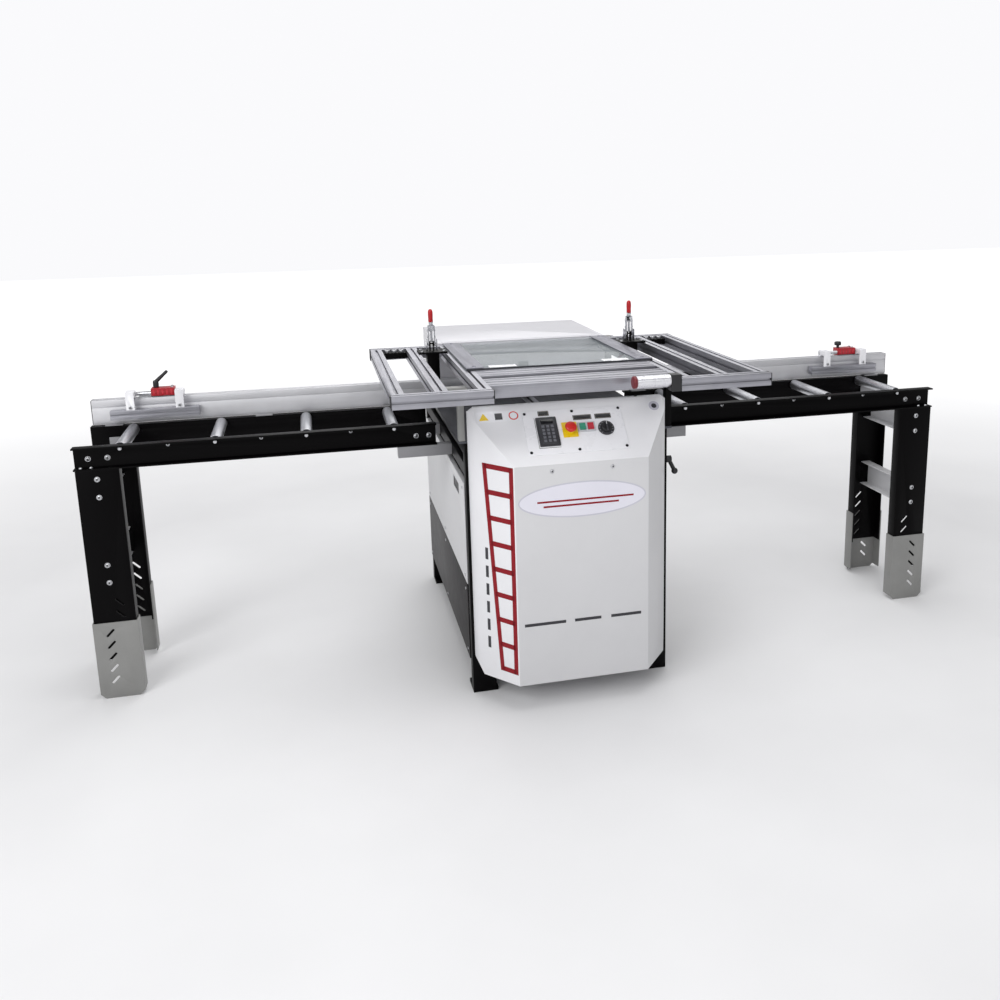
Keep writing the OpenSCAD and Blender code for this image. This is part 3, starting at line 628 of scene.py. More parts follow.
left_crease = Vector((-crease_right.x, crease_right.y, 0))
left_fold = Vector((-fold_right.x, fold_right.y, 0))
side_width = (left_crease - left_fold).length
RAIL, RUNGS = 0.017, 9
FOOT, TOP = 0.132, 0.836
NEAR_FOOT, NEAR_TOP, FAR = 0.074, 0.020, 0.132
bars = [film_bar((NEAR_FOOT, NEAR_FOOT + RAIL), (FOOT, TOP), lean=NEAR_TOP - NEAR_FOOT),
        film_bar((FAR, FAR + RAIL), (FOOT, TOP))]
for n in range(RUNGS):
    share = n / (RUNGS - 1)
    foot = FOOT + share * (TOP - FOOT - RAIL)
    near = NEAR_FOOT + share * (NEAR_TOP - NEAR_FOOT)
    bars.append(film_bar((near + RAIL / 2, FAR + RAIL / 2), (foot, foot + RAIL)))
side_film = joined("red_film_bars", bars)
against(side_film, left_fold, left_crease - left_fold, (0, 0, 1))
coat(side_film, graphic_red)
settle(side_film, "base", SLOTS["front_cover"])

dashes = [film_bar((0.022, 0.034), (0.200 + 0.062 * n, 0.240 + 0.062 * n)) for n in range(6)]
dash_film = joined("grey_film_dashes", dashes)
against(dash_film, left_fold, left_crease - left_fold, (0, 0, 1))
coat(dash_film, dark_film)
settle(dash_film, "base", SLOTS["front_cover"])
print("slanted side is", round(side_width, 3), "m wide")

# %% [markdown]
# The oval badge is a circle primitive stretched to its width, inset for the rim and extruded. The
# inset face gets the silver film and the ring around it the darker one. Two plain red lines cross
# it, and a thin broken line stands lower down on the cover.

# %% Oval badge
def oval(name, width, height, rim):
    clear_selection()
    bpy.ops.mesh.primitive_circle_add(vertices=96, radius=0.5, fill_type="NGON")
    piece = bpy.context.object
    piece.name = name
    piece.scale = (width, height, 1)
    apply_place(piece)
    bpy.ops.object.mode_set(mode="EDIT")
    bpy.ops.mesh.select_all(action="SELECT")
    bpy.ops.mesh.extrude_region_move(TRANSFORM_OT_translate={"value": (0, 0, FILM * MM)})
    bpy.ops.mesh.inset(thickness=rim, depth=0.0)
    bpy.ops.object.mode_set(mode="OBJECT")
    outward(piece)
    coat(piece, rim_film)
    paint_where(piece, silver_film, lambda c: math.hypot(c.x / width, c.y / height) < 0.1)
    return piece


badge = oval("silver_oval_badge", 0.424, 0.118, 0.0045)
against(badge, (0, cover_low.y, 0.718), (1, 0, 0), (0, 0, 1))
settle(badge, "base", SLOTS["front_cover"])

lines = [film_bar((-0.150 + 0.02 * n, 0.170 - 0.05 * n), (-0.008 - 0.016 * n, -0.002 - 0.016 * n))
         for n in range(2)]
for line in lines:
    for vertex in line.data.vertices:
        vertex.co.z += FILM * MM
badge_lines = joined("red_badge_lines", lines)
against(badge_lines, (0, cover_low.y, 0.722), (1, 0, 0), (0, 0, 1))
coat(badge_lines, graphic_red)
settle(badge_lines, "base", SLOTS["front_cover"])

dash_spans = [(-0.200, -0.062), (-0.032, 0.058), (0.092, 0.196)]
broken = joined("dark_film_line", [film_bar(span, (0, 0.010)) for span in dash_spans])
against(broken, (0, cover_low.y, 0.300), (1, 0, 0), (0, 0, 1))
coat(broken, dark_film)
settle(broken, "base", SLOTS["front_cover"])

# %% [markdown]
# ## Controls
# The controls stand on the slope. It is easiest to model them flat, with X across, Y up the slope
# and Z out of it, and then turn them all by the same matrix. The slope's direction comes from the
# emergency stop's joint, which pushes straight into it. Every control's place comes from its node.

# %% The slope's own directions
PUSH = next(joint for joint in frame["joints"] if joint["name"] == "estop_push")
slope_out = -Vector(PUSH["axis"]).normalized()
slope_up = slope_out.cross(Vector((1, 0, 0)))
slope_turn = Matrix((Vector((1, 0, 0)), slope_up, slope_out)).transposed().to_4x4()


def slope_box(node):
    flat = [slope_turn.inverted() @ v.co for v in nodes[node].data.vertices]
    return (Vector([min(p[i] for p in flat) for i in range(3)]),
            Vector([max(p[i] for p in flat) for i in range(3)]))


def onto_slope(piece):
    piece.matrix_world = slope_turn @ piece.matrix_world
    apply_place(piece)
    return piece


plate_low, plate_high = slope_box("control_plate")
FACE = plate_high.z
print("control plate", [round(v, 3) for v in plate_high - plate_low])

# %% [markdown]
# The keypad is a moulded frame with rounded corners, a display window and fifteen rubber keys.
# The corners of a cube are rounded by bevelling only its four standing edges. A key is modelled
# once: its top is inset and raised into a soft crown, and the other keys are copies.

# %% Keypad
def select_edges(piece, wanted):
    make_active(piece)
    bpy.ops.object.mode_set(mode="EDIT")
    bpy.ops.mesh.select_mode(type="EDGE")
    bpy.ops.mesh.select_all(action="DESELECT")
    bpy.ops.object.mode_set(mode="OBJECT")
    points = piece.data.vertices
    for edge in piece.data.edges:
        edge.select = wanted(points[edge.vertices[0]].co, points[edge.vertices[1]].co)
    bpy.ops.object.mode_set(mode="EDIT")


def select_top(piece, top):
    make_active(piece)
    bpy.ops.object.mode_set(mode="EDIT")
    bpy.ops.mesh.select_mode(type="FACE")
    bpy.ops.mesh.select_all(action="DESELECT")
    bpy.ops.object.mode_set(mode="OBJECT")
    for face in piece.data.polygons:
        face.select = face.center.z > top - 1e-5
    bpy.ops.object.mode_set(mode="EDIT")


def slab(name, low, high, corner_radius, edge):
    """A flat block with round corners in plan and a small round all over."""
    piece = block(name, low, high)
    select_edges(piece, lambda a, b: abs(a.z - b.z) > 1e-5)
    bpy.ops.mesh.bevel(offset=corner_radius * MM, segments=6, affect="EDGES")
    bpy.ops.object.mode_set(mode="OBJECT")
    round_edges(piece, edge)
    return piece


pad_low, pad_high = slope_box("keypad")
pad_frame = slab("pad_frame", pad_low, (pad_high.x, pad_high.y, FACE + 4 * MM), 4, 0.6)
inner_low = Vector((pad_low.x + 5 * MM, pad_low.y + 4 * MM, FACE + 3 * MM))
inner_high = Vector((pad_high.x - 5 * MM, pad_high.y - 4 * MM, FACE + 9 * MM))
pad_body = slab("pad_body", inner_low, inner_high, 9, 1.2)
coat(pad_body, dark_grey_abs)
window = slab("pad_window", (inner_low.x + 9 * MM, inner_high.y - 24 * MM, FACE + 8.6 * MM),
              (inner_high.x - 9 * MM, inner_high.y - 9 * MM, FACE + 9.8 * MM), 1.5, 0.3)
coat(window, black_glass)


def key(name, x, y, width, depth):
    base = FACE + 8.6 * MM
    piece = block(name, (x - width / 2, y - depth / 2, base), (x + width / 2, y + depth / 2, base + 2 * MM))
    select_top(piece, base + 2 * MM)
    bpy.ops.mesh.inset(thickness=1.2 * MM, depth=0.9 * MM)
    bpy.ops.object.mode_set(mode="OBJECT")
    round_edges(piece, 0.5)
    return piece


keys = []
ROWS, COLUMNS = 5, 3
pitch_x = (inner_high.x - inner_low.x - 12 * MM) / COLUMNS
pitch_y = (inner_high.y - inner_low.y - 34 * MM) / ROWS
first = key("key", inner_low.x + 6 * MM + pitch_x / 2, inner_low.y + 6 * MM + pitch_y / 2, 9 * MM, 9 * MM)
for n in range(ROWS * COLUMNS):
    cap = first if n == 0 else copy_of(first, f"key_{n}")
    cap.location = (pitch_x * (n % COLUMNS), pitch_y * (n // COLUMNS), 0)
for n, cap in enumerate([first] + [bpy.data.objects[f"key_{i}"] for i in range(1, ROWS * COLUMNS)]):
    apply_place(cap)
    coat(cap, key_abs)
    keys.append(cap)
coat(pad_frame, dark_grey_abs)
GASKET_WIDTH = 1.2 * MM
gasket_left, gasket_foot, gasket_top = pad_low.x - 3.5 * MM, pad_low.y - 5 * MM, FACE + 0.5 * MM
gasket = [block("gasket", (gasket_left, gasket_foot, FACE),
                (gasket_left + GASKET_WIDTH, pad_high.y, gasket_top)),
          block("gasket", (gasket_left, gasket_foot, FACE),
                (pad_high.x, gasket_foot + GASKET_WIDTH, gasket_top))]
for piece in gasket:
    coat(piece, black_abs)
keypad = joined("speed_keypad", [pad_frame, pad_body, window] + gasket + keys)
onto_slope(keypad)
settle(keypad, "base", SLOTS["keypad"], "keypad")
print(len(keys), "keys")

# %% [markdown]
# The emergency stop is a red mushroom on a yellow plate. The mushroom is turned: a stem, the
# underside of the cap, a rounded rim and a shallow crown. The square yellow plate is a slab with
# a collar, and both keep the sizes of their nodes.

# %% Emergency stop
stop_low, stop_high = slope_box("estop_base")
estop_x, estop_y = (stop_low.x + stop_high.x) / 2, (stop_low.y + stop_high.y) / 2
yellow = slab("yellow_plate", stop_low, (stop_high.x, stop_high.y, FACE + 3 * MM), 3, 0.6)
collar = turned("collar", [(2, 16.5), (8, 15.6), (10, 14.6), (10, 6.3)], (estop_x, estop_y, FACE))
estop_plate = joined("estop_yellow_plate", [yellow, collar])
coat(estop_plate, yellow_pc)
onto_slope(estop_plate)
settle(estop_plate, "base", SLOTS["estop_base"], "estop_base")

crown = [(21 + 6.4 * math.sin(math.radians(a)), 18.6 * math.cos(math.radians(a))) for a in range(10, 90, 10)]
mushroom = turned("estop_mushroom", [(8.5, 5.8), (15.5, 5.8), (15.5, 15.5), (16.5, 18.0), (18.5, 19.0),
                                     (20.5, 19.0)] + crown + [(27.5, 1.2)], (estop_x, estop_y, FACE))
coat(mushroom, red_pc)
onto_slope(mushroom)
settle(mushroom, "estop_button", SLOTS["estop_button"], "estop_button")

# %% [markdown]
# The start and stop buttons are square lenses with a crowned top, each in its well of the bezel.
# The dial has a knurled skirt, cut by pushing every other side vertex inwards, a raised scale ring
# and a pointer. The scale ticks are plain bars.

# %% Buttons and dial
def lens(node, material):
    low, high = slope_box(node)
    piece = block(node + "_lens", low, high)
    select_top(piece, high.z)
    bpy.ops.mesh.inset(thickness=2.2 * MM, depth=-0.8 * MM)
    bpy.ops.object.mode_set(mode="OBJECT")
    round_edges(piece, 0.9, 3)
    coat(piece, material)
    onto_slope(piece)
    settle(piece, node, SLOTS[node], node)


lens("start_button", green_pc)
lens("stop_button", dark_red_pc)

dial_low, dial_high = slope_box("speed_knob")
dial_x, dial_y = (dial_low.x + dial_high.x) / 2, (dial_low.y + dial_high.y) / 2
skirt = turned("skirt", [(0.2, 18.8), (8.5, 18.4), (10.5, 17.2), (11.6, 15.0), (11.6, 9.0), (10.8, 8.4)],
               (dial_x, dial_y, dial_low.z), sides=72)
for index, vertex in enumerate(skirt.data.vertices):
    from_axis = Vector((vertex.co.x - dial_x, vertex.co.y - dial_y, 0))
    if from_axis.length > 17.5 * MM:
        angle = math.degrees(math.atan2(from_axis.y, from_axis.x))
        if round(angle / 5) % 2:
            vertex.co -= from_axis.normalized() * 0.9 * MM
coat(skirt, black_abs)
ridge = block("ridge", (dial_x - 2.6 * MM, dial_y - 17 * MM, dial_low.z + 10 * MM),
              (dial_x + 2.6 * MM, dial_y + 17 * MM, dial_high.z - 0.1 * MM), 0.9)
coat(ridge, dark_grey_abs)
mark = block("mark", (dial_x - 0.7 * MM, dial_y + 5 * MM, dial_high.z - 0.2 * MM),
             (dial_x + 0.7 * MM, dial_y + 16.4 * MM, dial_high.z), 0.1)
coat(mark, white_laminate)
dial = joined("speed_dial", [skirt, ridge, mark])
onto_slope(dial)
settle(dial, "speed_knob", SLOTS["speed_knob"], "speed_knob")

ticks = []
for n in range(11):
    angle = math.radians(225 - 27 * n)
    tick = block("tick", (20.8 * MM, -0.35 * MM, 0), (24.6 * MM, 0.35 * MM, 0.25 * MM))
    tick.matrix_world = (Matrix.Translation((dial_x, dial_y, FACE + 3.02 * MM)) @
                         Matrix.Rotation(angle, 4, "Z"))
    apply_place(tick)
    ticks.append(tick)
scale = joined("dial_scale_ticks", ticks)
coat(scale, white_laminate)
onto_slope(scale)
settle(scale, "base", SLOTS["control_plate"])

# %% [markdown]
# The label plates are blank engraved laminate: a dark plate with a paler line round it, made by
# two insets. A pale printed frame marks out the two push buttons.

# %% Label plates
def loose_parts(node):
    """A node's copy, taken apart into its separate pieces."""
    piece = merged_copy(node, node + "_part")
    bpy.ops.object.mode_set(mode="EDIT")
    bpy.ops.mesh.select_all(action="SELECT")
    bpy.ops.mesh.separate(type="LOOSE")
    bpy.ops.object.mode_set(mode="OBJECT")
    return [piece] + [o for o in bpy.context.selected_objects if o is not piece]


labels = []
for n, part in enumerate(loose_parts("label_plates")):
    flat = [slope_turn.inverted() @ v.co for v in part.data.vertices]
    low = Vector([min(p[i] for p in flat) for i in range(3)])
    high = Vector([max(p[i] for p in flat) for i in range(3)])
    bpy.data.objects.remove(part)
    plate = slab(f"label_{n}", low, high, 1.5, 0.2)
    coat(plate, black_abs)
    inset = Vector((1.6 * MM, 1.6 * MM, 0))
    line = slab(f"label_line_{n}", low + inset + Vector((0, 0, 0.5 * MM)),
                high - inset + Vector((0, 0, 0.08 * MM)), 1, 0.05)
    coat(line, label_line)
    field = slab(f"label_field_{n}", low + inset * 1.5 + Vector((0, 0, 0.5 * MM)),
                 high - inset * 1.5 + Vector((0, 0, 0.16 * MM)), 1, 0.05)
    coat(field, black_abs)
    labels += [plate, line, field]
label_set = joined("blank_label_plates", labels)
onto_slope(label_set)
settle(label_set, "base", SLOTS["label_plates"], "label_plates")

# %% [markdown]
# Small stickers stand beside the plate: a blank white strip with a plain triangle, square and
# ring on it, and a round one near the right edge. They are flat discs and prisms, each standing a
# fraction of a millimetre higher than the one under it. A black cap screw holds the cover's lip.

# %% Plain stickers
SHEET, FOOT_V = plate_low.z, plate_low.y - 36 * MM
TIP = 180                                  # a triangle with its tip up the slope


def sticker(name, material, u, v, radius, level=0.3, sides=48, turn=0):
    piece = turned(name, [(0, radius), (level, radius)], sides=sides)
    piece.matrix_world = (Matrix.Translation((u, FOOT_V + v, SHEET)) @
                          Matrix.Rotation(math.radians(turn), 4, "Z"))
    apply_place(piece)
    coat(piece, material)
    return piece


strip = block("strip", (-0.312, FOOT_V + 0.170, SHEET), (-0.172, FOOT_V + 0.210, SHEET + 0.2 * MM))
coat(strip, white_laminate)
ROW_V = 0.190
TRIANGLE_X, SQUARE_X, RING_X, DISC_X = -0.291, -0.242, -0.193, 0.284
stickers = joined("plain_stickers", [
    strip,
    sticker("triangle", yellow_pc, TRIANGLE_X, ROW_V - 3 * MM, 18, 0.4, sides=3, turn=TIP),
    sticker("square", dark_film, SQUARE_X, ROW_V, 17, 0.4, sides=4, turn=45),
    sticker("ring", red_pc, RING_X, ROW_V, 16, 0.4),
    sticker("ring_middle", white_laminate, RING_X, ROW_V, 12, 0.55),
    sticker("disc", white_laminate, DISC_X, ROW_V, 21),
    sticker("disc_rim", rim_film, DISC_X, ROW_V, 18, 0.4),
    sticker("disc_middle", dark_film, DISC_X, ROW_V, 9, 0.5)])
onto_slope(stickers)
settle(stickers, "base", SLOTS["label_plates"])

lip_screw = turned("lip_screw", [(0, 5.5), (2, 5.2), (3, 4), (3, 1)],
                   (0.231, cover_high.y - 7 * MM, cover_high.z))
coat(lip_screw, black_zinc)
settle(lip_screw, "base", SLOTS["fasteners"])
print("stickers stand", round((plate_high.z - SHEET) / MM, 1), "mm below the plate's face")

# %% [markdown]
# ## Guard frame
# The guard is bolted up from slotted aluminium profile. The slots are in the CAD nodes, so copies
# get the small radius of an extrusion. Die lines run along each bar, so the faces of the bars
# that lie along X take the finish drawn along X.

# %% Profile frame
caps_low, caps_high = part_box("end_caps")
BAR = caps_high.z - caps_low.z
guard_top = caps_high.z
for side in ("left", "right"):
    wing = rounded("wing_" + side, 0.5, side + "_wing_frame")
    low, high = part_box("wing_" + side)
    front_bar, back_bar = low.y + BAR, caps_high.y - BAR
    paint_where(wing, bar_x_metal, lambda c: c.y < front_bar + 1e-4 or c.y > back_bar - 1e-4)
rounded("centre_bars", 0.5, "centre_cross_bars")
print("profile is", round(BAR / MM), "mm square")

# %% [markdown]
# Each wing has a black joining block in its outer rear bay, held by three bright cap screws. The
# block is a cube with rounded edges. The cap screw is turned once with its head, and its socket
# is a six-sided inset pushed down into it.

# %% Cap screws and joining blocks
def socket_screw(name, radius, height):
    head = turned(name, [(0, radius * 0.96), (height * 0.75, radius)] +
                  [(height * (0.75 + 0.25 * math.sin(a)), radius * (0.82 + 0.18 * math.cos(a)))
                   for a in (0.5, 1.0, 1.5)], sides=24)
    pit = turned(name + "_pit", [(height * 0.95, radius * 0.5), (height * 1.02, radius * 0.5)], sides=6)
    coat(head, zinc)
    coat(pit, black_abs)
    return joined(name, [head, pit])


def placed_copies(name, model, places, direction=(0, 0, 1)):
    made = []
    for n, place in enumerate(places):
        copy = copy_of(model, f"{name}_{n}")
        stand(copy, place, direction)
        made.append(copy)
    bpy.data.objects.remove(model)
    return joined(name, made)


for side, sign in (("left", -1), ("right", 1)):
    outer = sign * (caps_high.x - 3 * MM - BAR)
    inner = outer - sign * 90 * MM
    back = caps_high.y - BAR
    joint_block = block(f"{side}_joining_block", (min(outer, inner), back - 46 * MM, guard_top - 30 * MM),
                        (max(outer, inner), back, guard_top - 8 * MM), 1.2)
    coat(joint_block, black_coat)
    settle(joint_block, "guard", SLOTS["clamp_bases"])
    middle = (outer + inner) / 2
    spots = [(middle + k * 26 * MM, back - 23 * MM, guard_top - 8 * MM) for k in (-1, 0, 1)]
    screws = placed_copies(f"{side}_block_screws", socket_screw("cap_screw", 10, 9), spots)
    settle(screws, "guard", SLOTS["fasteners"])

# %% [markdown]
# The clear sheet is cut polycarbonate with polished edges, held at each side by an anodised strip
# and countersunk screws. Two blank white labels lie at its front corners.

# %% Clear sheet
rounded("guard_sheet", 0.8, "polycarbonate_sheet")
rounded("sheet_strips", 0.5, "sheet_hold_strips")
sheet_low, sheet_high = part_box("guard_sheet")
labels = []
for sign in (-1, 1):
    middle = sign * 0.196
    plate = block("corner_label", (middle - 0.046, sheet_low.y + 0.008, sheet_high.z),
                  (middle + 0.046, sheet_low.y + 0.046, sheet_high.z + 0.3 * MM), 0.1)
    labels.append(plate)
corner_labels = joined("blank_corner_labels", labels)
coat(corner_labels, white_laminate)
settle(corner_labels, "guard", SLOTS["control_plate"])
edge_strip = block("sheet_front_strip", (sheet_low.x, sheet_low.y - 1.5 * MM, sheet_low.z + 0.2 * MM),
                   (sheet_high.x, sheet_low.y - 0.1 * MM, sheet_high.z - 0.2 * MM), 0.3)
coat(edge_strip, dark_grey_abs)
settle(edge_strip, "guard", SLOTS["sheet_strips"])

# %% [markdown]
# The lifting grip is a bright tube with turned grooves, a maroon plug at its free end and a black
# mounting block. The grooves are steps in the turned outline, and the whole grip keeps the node's
# length and radius.

# %% Lifting grip
grip_low, grip_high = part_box("lift_grip")
axis_y = (grip_low.y + grip_high.y) / 2
TUBE_R, PLUG_R, PLUG, MOUNT = 19, 20, 12, 33
axis_z = grip_low.z + 14 * MM + TUBE_R * MM
tube_length = (grip_high.x - grip_low.x) / MM - PLUG - MOUNT
outline = [(0, 17.5), (1.5, TUBE_R)]
for n in range(3):
    middle = tube_length * (0.2 + 0.3 * n)
    outline += [(middle - 2.2, TUBE_R), (middle - 1.4, TUBE_R - 0.9), (middle + 1.4, TUBE_R - 0.9),
                (middle + 2.2, TUBE_R)]
outline += [(tube_length - 1.5, TUBE_R), (tube_length, 17.5)]
tube = turned("grip_tube", outline, (grip_high.x - MOUNT * MM, axis_y, axis_z), (-1, 0, 0))
coat(tube, bright_sleeve)
plug = turned("grip_plug", [(0, 18.6), (1.2, PLUG_R), (8.5, PLUG_R), (10.6, 18.4), (11.8, 14), (12, 8)],
              (grip_low.x + PLUG * MM, axis_y, axis_z), (-1, 0, 0))
coat(plug, maroon_abs)
mount = block("grip_mount", (grip_high.x - MOUNT * MM, grip_low.y, guard_top - BAR),
              (grip_high.x, grip_high.y, grip_high.z), 2.5, 3)
coat(mount, black_abs)
grip = joined("lifting_grip", [tube, plug, mount])
settle(grip, "guard", SLOTS["lift_grip"], "lift_grip")

# %% [markdown]
# ## Hold-down clamps
# Each clamp is a toggle: two pressed side plates, a pivot, a bright plunger with a rubber tip,
# and a grip dipped in red vinyl. The grip is turned with a swollen middle and a round end. The
# pressed plates come from the CAD node, cut off below the grip by deleting its upper faces.

# %% Toggle clamps
def keep_below(piece, height):
    make_active(piece)
    bpy.ops.object.mode_set(mode="EDIT")
    bpy.ops.mesh.select_all(action="SELECT")
    bpy.ops.mesh.bisect(plane_co=(0, 0, height), plane_no=(0, 0, 1), clear_outer=True, use_fill=True)
    bpy.ops.object.mode_set(mode="OBJECT")


for side in ("left", "right"):
    node = "clamp_handle_" + side
    low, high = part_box(node)
    across, depth = (low.x + high.x) / 2, (low.y + high.y) / 2
    neck, grip_foot = high.z - 61 * MM, high.z - 46 * MM
    plates = merged_copy(node, "plates")
    keep_below(plates, neck)
    round_edges(plates, 1.0)
    coat(plates, bright_plate)
    grip_outline = [(-2, 7.0), (-1, 8.2), (1, 8.8), (12, 8.6), (24, 9.0), (34, 8.8), (39, 8.0),
                    (43, 6.2), (45.2, 3.6), (46, 0.8)]
    handle_grip = turned("red_grip", grip_outline, (across, depth, grip_foot), sides=32)
    coat(handle_grip, red_vinyl)
    shank = block("shank", (across - 8 * MM, depth - 5 * MM, neck - 1 * MM),
                  (across + 8 * MM, depth + 5 * MM, grip_foot), 1.5)
    coat(shank, bright_plate)
    rivets = [turned("rivet", [(0, 5.2), (1.4, 5.0), (2.2, 3.6), (2.4, 1)],
                     (across + s * 13.2 * MM, depth, low.z + h * MM), (s, 0, 0), sides=24)
              for s in (-1, 1) for h in (9, 34, 58)]
    for rivet in rivets:
        coat(rivet, zinc)
    link = block("link", (across - 4 * MM, depth - 4 * MM, low.z + 14 * MM),
                 (across + 4 * MM, depth + 4 * MM, low.z + 60 * MM), 1.5)
    coat(link, bright_plate)
    handle = joined(f"{side}_clamp_handle", [plates, handle_grip, shank, link] + rivets)
    settle(handle, node, SLOTS[node], node)

    ears = [block("ear", (across + s * 18 * MM - 1.6 * MM, depth - 12 * MM, guard_top + 6 * MM),
                  (across + s * 18 * MM + 1.6 * MM, depth + 16 * MM, low.z + 26 * MM), 1.4) for s in (-1, 1)]
    ear_pair = joined(f"{side}_clamp_ears", ears)
    coat(ear_pair, bright_plate)
    settle(ear_pair, "guard", SLOTS["clamp_bases"])

    node = "clamp_plunger_" + side
    low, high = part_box(node)
    centre_x, centre_y = (low.x + high.x) / 2, (low.y + high.y) / 2
    length = (high.z - low.z) / MM
    tip = turned("tip", [(0, 15), (1, 18.2), (3, 19.6), (8, 19.6), (11, 17), (13, 12), (15, 9)],
                 (centre_x, centre_y, low.z))
    coat(tip, black_rubber)
    threads = [(15, 7.9)]
    for n in range(11):
        threads += [(17 + 2.6 * n, 7.9), (18.3 + 2.6 * n, 7.0)]
    threads += [(47, 7.9), (length - 2, 7.9), (length - 0.5, 6.4)]
    stem = turned("stem", threads, (centre_x, centre_y, low.z), sides=32)
    coat(stem, bright_plate)
    nut = turned("nut", [(11, 12.5), (11.6, 13.4), (14.8, 13.4), (15.4, 12.5), (15.4, 8)],
                 (centre_x, centre_y, low.z), sides=6)
    coat(nut, zinc)
    plunger = joined(f"{side}_clamp_plunger", [tip, stem, nut])
    settle(plunger, node, SLOTS[node], node)

rounded("clamp_bases", 1.5, "clamp_base_blocks")
base_low, base_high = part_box("clamp_bases")
spots = [(s * 0.380 + a * 0.040, y, guard_top + 6 * MM) for s in (-1, 1) for a in (-1, 1)
         for y in (base_low.y + 0.014, base_high.y - 0.014)]
seat_screws = placed_copies("clamp_seat_screws", socket_screw("cap_screw", 6, 5), spots)
settle(seat_screws, "guard", SLOTS["fasteners"])

# %% [markdown]
# ## Fence and flip stops
# The fence is a hollow extrusion with a slot along its top and a fine line along its face. Its
# ends are closed by moulded caps. Each stop has a red clamping block, white flip arms and a
# slotted bar. The arms and bar are one node, so its faces take their finish by height.

# %% Fence
rounded("fence_beams", 0.6, "fence_extrusions")
fence_low, fence_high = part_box("fence_beams")
caps = [block("fence_cap", (sign * fence_high.x - (2.5 * MM if sign < 0 else 0), fence_low.y + 0.4 * MM,
                            fence_low.z + 0.4 * MM),
              (sign * fence_high.x + (2.5 * MM if sign > 0 else 0), fence_high.y - 0.4 * MM,
               fence_high.z - 0.4 * MM), 0.8) for sign in (-1, 1)]
fence_caps = joined("fence_end_caps", caps)
coat(fence_caps, dark_grey_abs)
settle(fence_caps, "base", SLOTS["end_caps"])
print("fence is", round(fence_high.z - fence_low.z, 3), "m high")

# %% Flip stops
for side in ("left", "right"):
    bar_low, bar_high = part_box("stop_bar_" + side)
    flag = rounded("stop_bar_" + side, 0.8, side + "_flip_stop")
    slotted_top = bar_low.z + 32 * MM
    paint_where(flag, white_enamel, lambda c: c.z > slotted_top + 1e-4)
    middle = (bar_low.x + bar_high.x) / 2
    arm_xs = (middle - 80 * MM, middle + 86 * MM)
    arm_front = bar_low.y + 3 * MM
    heads = placed_copies(side + "_arm_screws", socket_screw("cap_screw", 6, 5),
                          [(x, arm_front, bar_low.z + 42 * MM) for x in arm_xs], (0, -1, 0))
    settle(heads, "stop_bar_" + side, SLOTS["fasteners"])

    node = "stop_carriage_" + side
    low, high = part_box(node)
    carriage = rounded(node, 1.4, side + "_stop_carriage")
    block_x = (high.x - 98 * MM) + 68 * MM
    zinc_top, block_start = low.z + 2.8 * MM, block_x - 82 * MM
    paint_where(carriage, zinc, lambda c: c.z < zinc_top or not block_start < c.x < block_x + 1e-3)
    # Raised ribs on each red block's face, coated brighter red than the block as a painted highlight.
    rib_xs = [block_x - 74 * MM + 15 * n * MM for n in range(5)]
    ribs = [block("rib", (x, low.y - 0.9 * MM, low.z + 8 * MM),
                  (x + 7 * MM, low.y + 1 * MM, high.z - 5 * MM), 0.8) for x in rib_xs]
    rib_set = joined(side + "_block_ribs", ribs)
    coat(rib_set, painted_highlight_red)
    settle(rib_set, "stop_" + side, SLOTS[node])
    line = block(side + "_block_shadow_strip", (block_x - 80 * MM, low.y - 0.6 * MM, low.z + 3 * MM),
                 (block_x, low.y + 1 * MM, low.z + 5 * MM), 0.3)
    coat(line, black_rubber)
    settle(line, "stop_" + side, SLOTS["stop_lever_left"])
    top_screws = placed_copies(side + "_block_top_screws", socket_screw("cap_screw", 5, 4),
                               [(block_x - 10 * MM, low.y + y * MM, high.z) for y in (12, 36)])
    settle(top_screws, "stop_" + side, SLOTS["fasteners"])

# %% [markdown]
# The clamping lever is a moulded arm on a turned hub with a pressed button on top. Its arm is a
# turned taper laid over at an angle. The knob on the other stop has seven lobes, made by moving
# the side vertices of a turned piece in and out with a cosine.

# %% Lever and knob
low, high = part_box("stop_lever_left")
hub = Vector((low.x + 10 * MM, (low.y + high.y) / 2, low.z))
core = turned("hub", [(0, 8.6), (1, 9.8), (16, 10), (22, 9.4), (25.4, 7.6), (26, 5), (26, 0.5)], hub)
coat(core, black_abs)
LEAN = math.radians(48)
reach = Vector((math.sin(LEAN), 0, math.cos(LEAN)))
arm = turned("arm", [(0, 6.9), (20, 6.6), (38, 5.6), (50, 5.6), (55, 5.2), (57.4, 3.4), (58, 0.6)],
             hub + Vector((0, 0, 20 * MM)), reach, sides=32)
coat(arm, black_abs)
button = turned("button", [(25.8, 5.6), (26.0, 5.4), (26.0, 3)], hub, sides=24)
coat(button, zinc)
lever = joined("clamping_lever", [core, arm, button])
settle(lever, "stop_lever_left", SLOTS["stop_lever_left"], "stop_lever_left")

low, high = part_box("stop_knob_right")
hub = Vector(((low.x + high.x) / 2, (low.y + high.y) / 2, low.z))
knob = turned("lobed_clamp_knob", [(0, 5.8), (9.6, 5.8), (10, 11), (11.2, 13.6), (13, 14.6), (23, 14.6),
                                   (25, 13.2), (26, 10), (26, 1)], hub, sides=84)
for vertex in knob.data.vertices:
    spoke = Vector((vertex.co.x - hub.x, vertex.co.y - hub.y, 0))
    if spoke.length > 10.5 * MM:
        wave = math.cos(7 * math.atan2(spoke.y, spoke.x))
        vertex.co += spoke.normalized() * (wave - 1) * 0.9 * MM
coat(knob, black_abs)
settle(knob, "stop_knob_right", SLOTS["stop_knob_right"], "stop_knob_right")

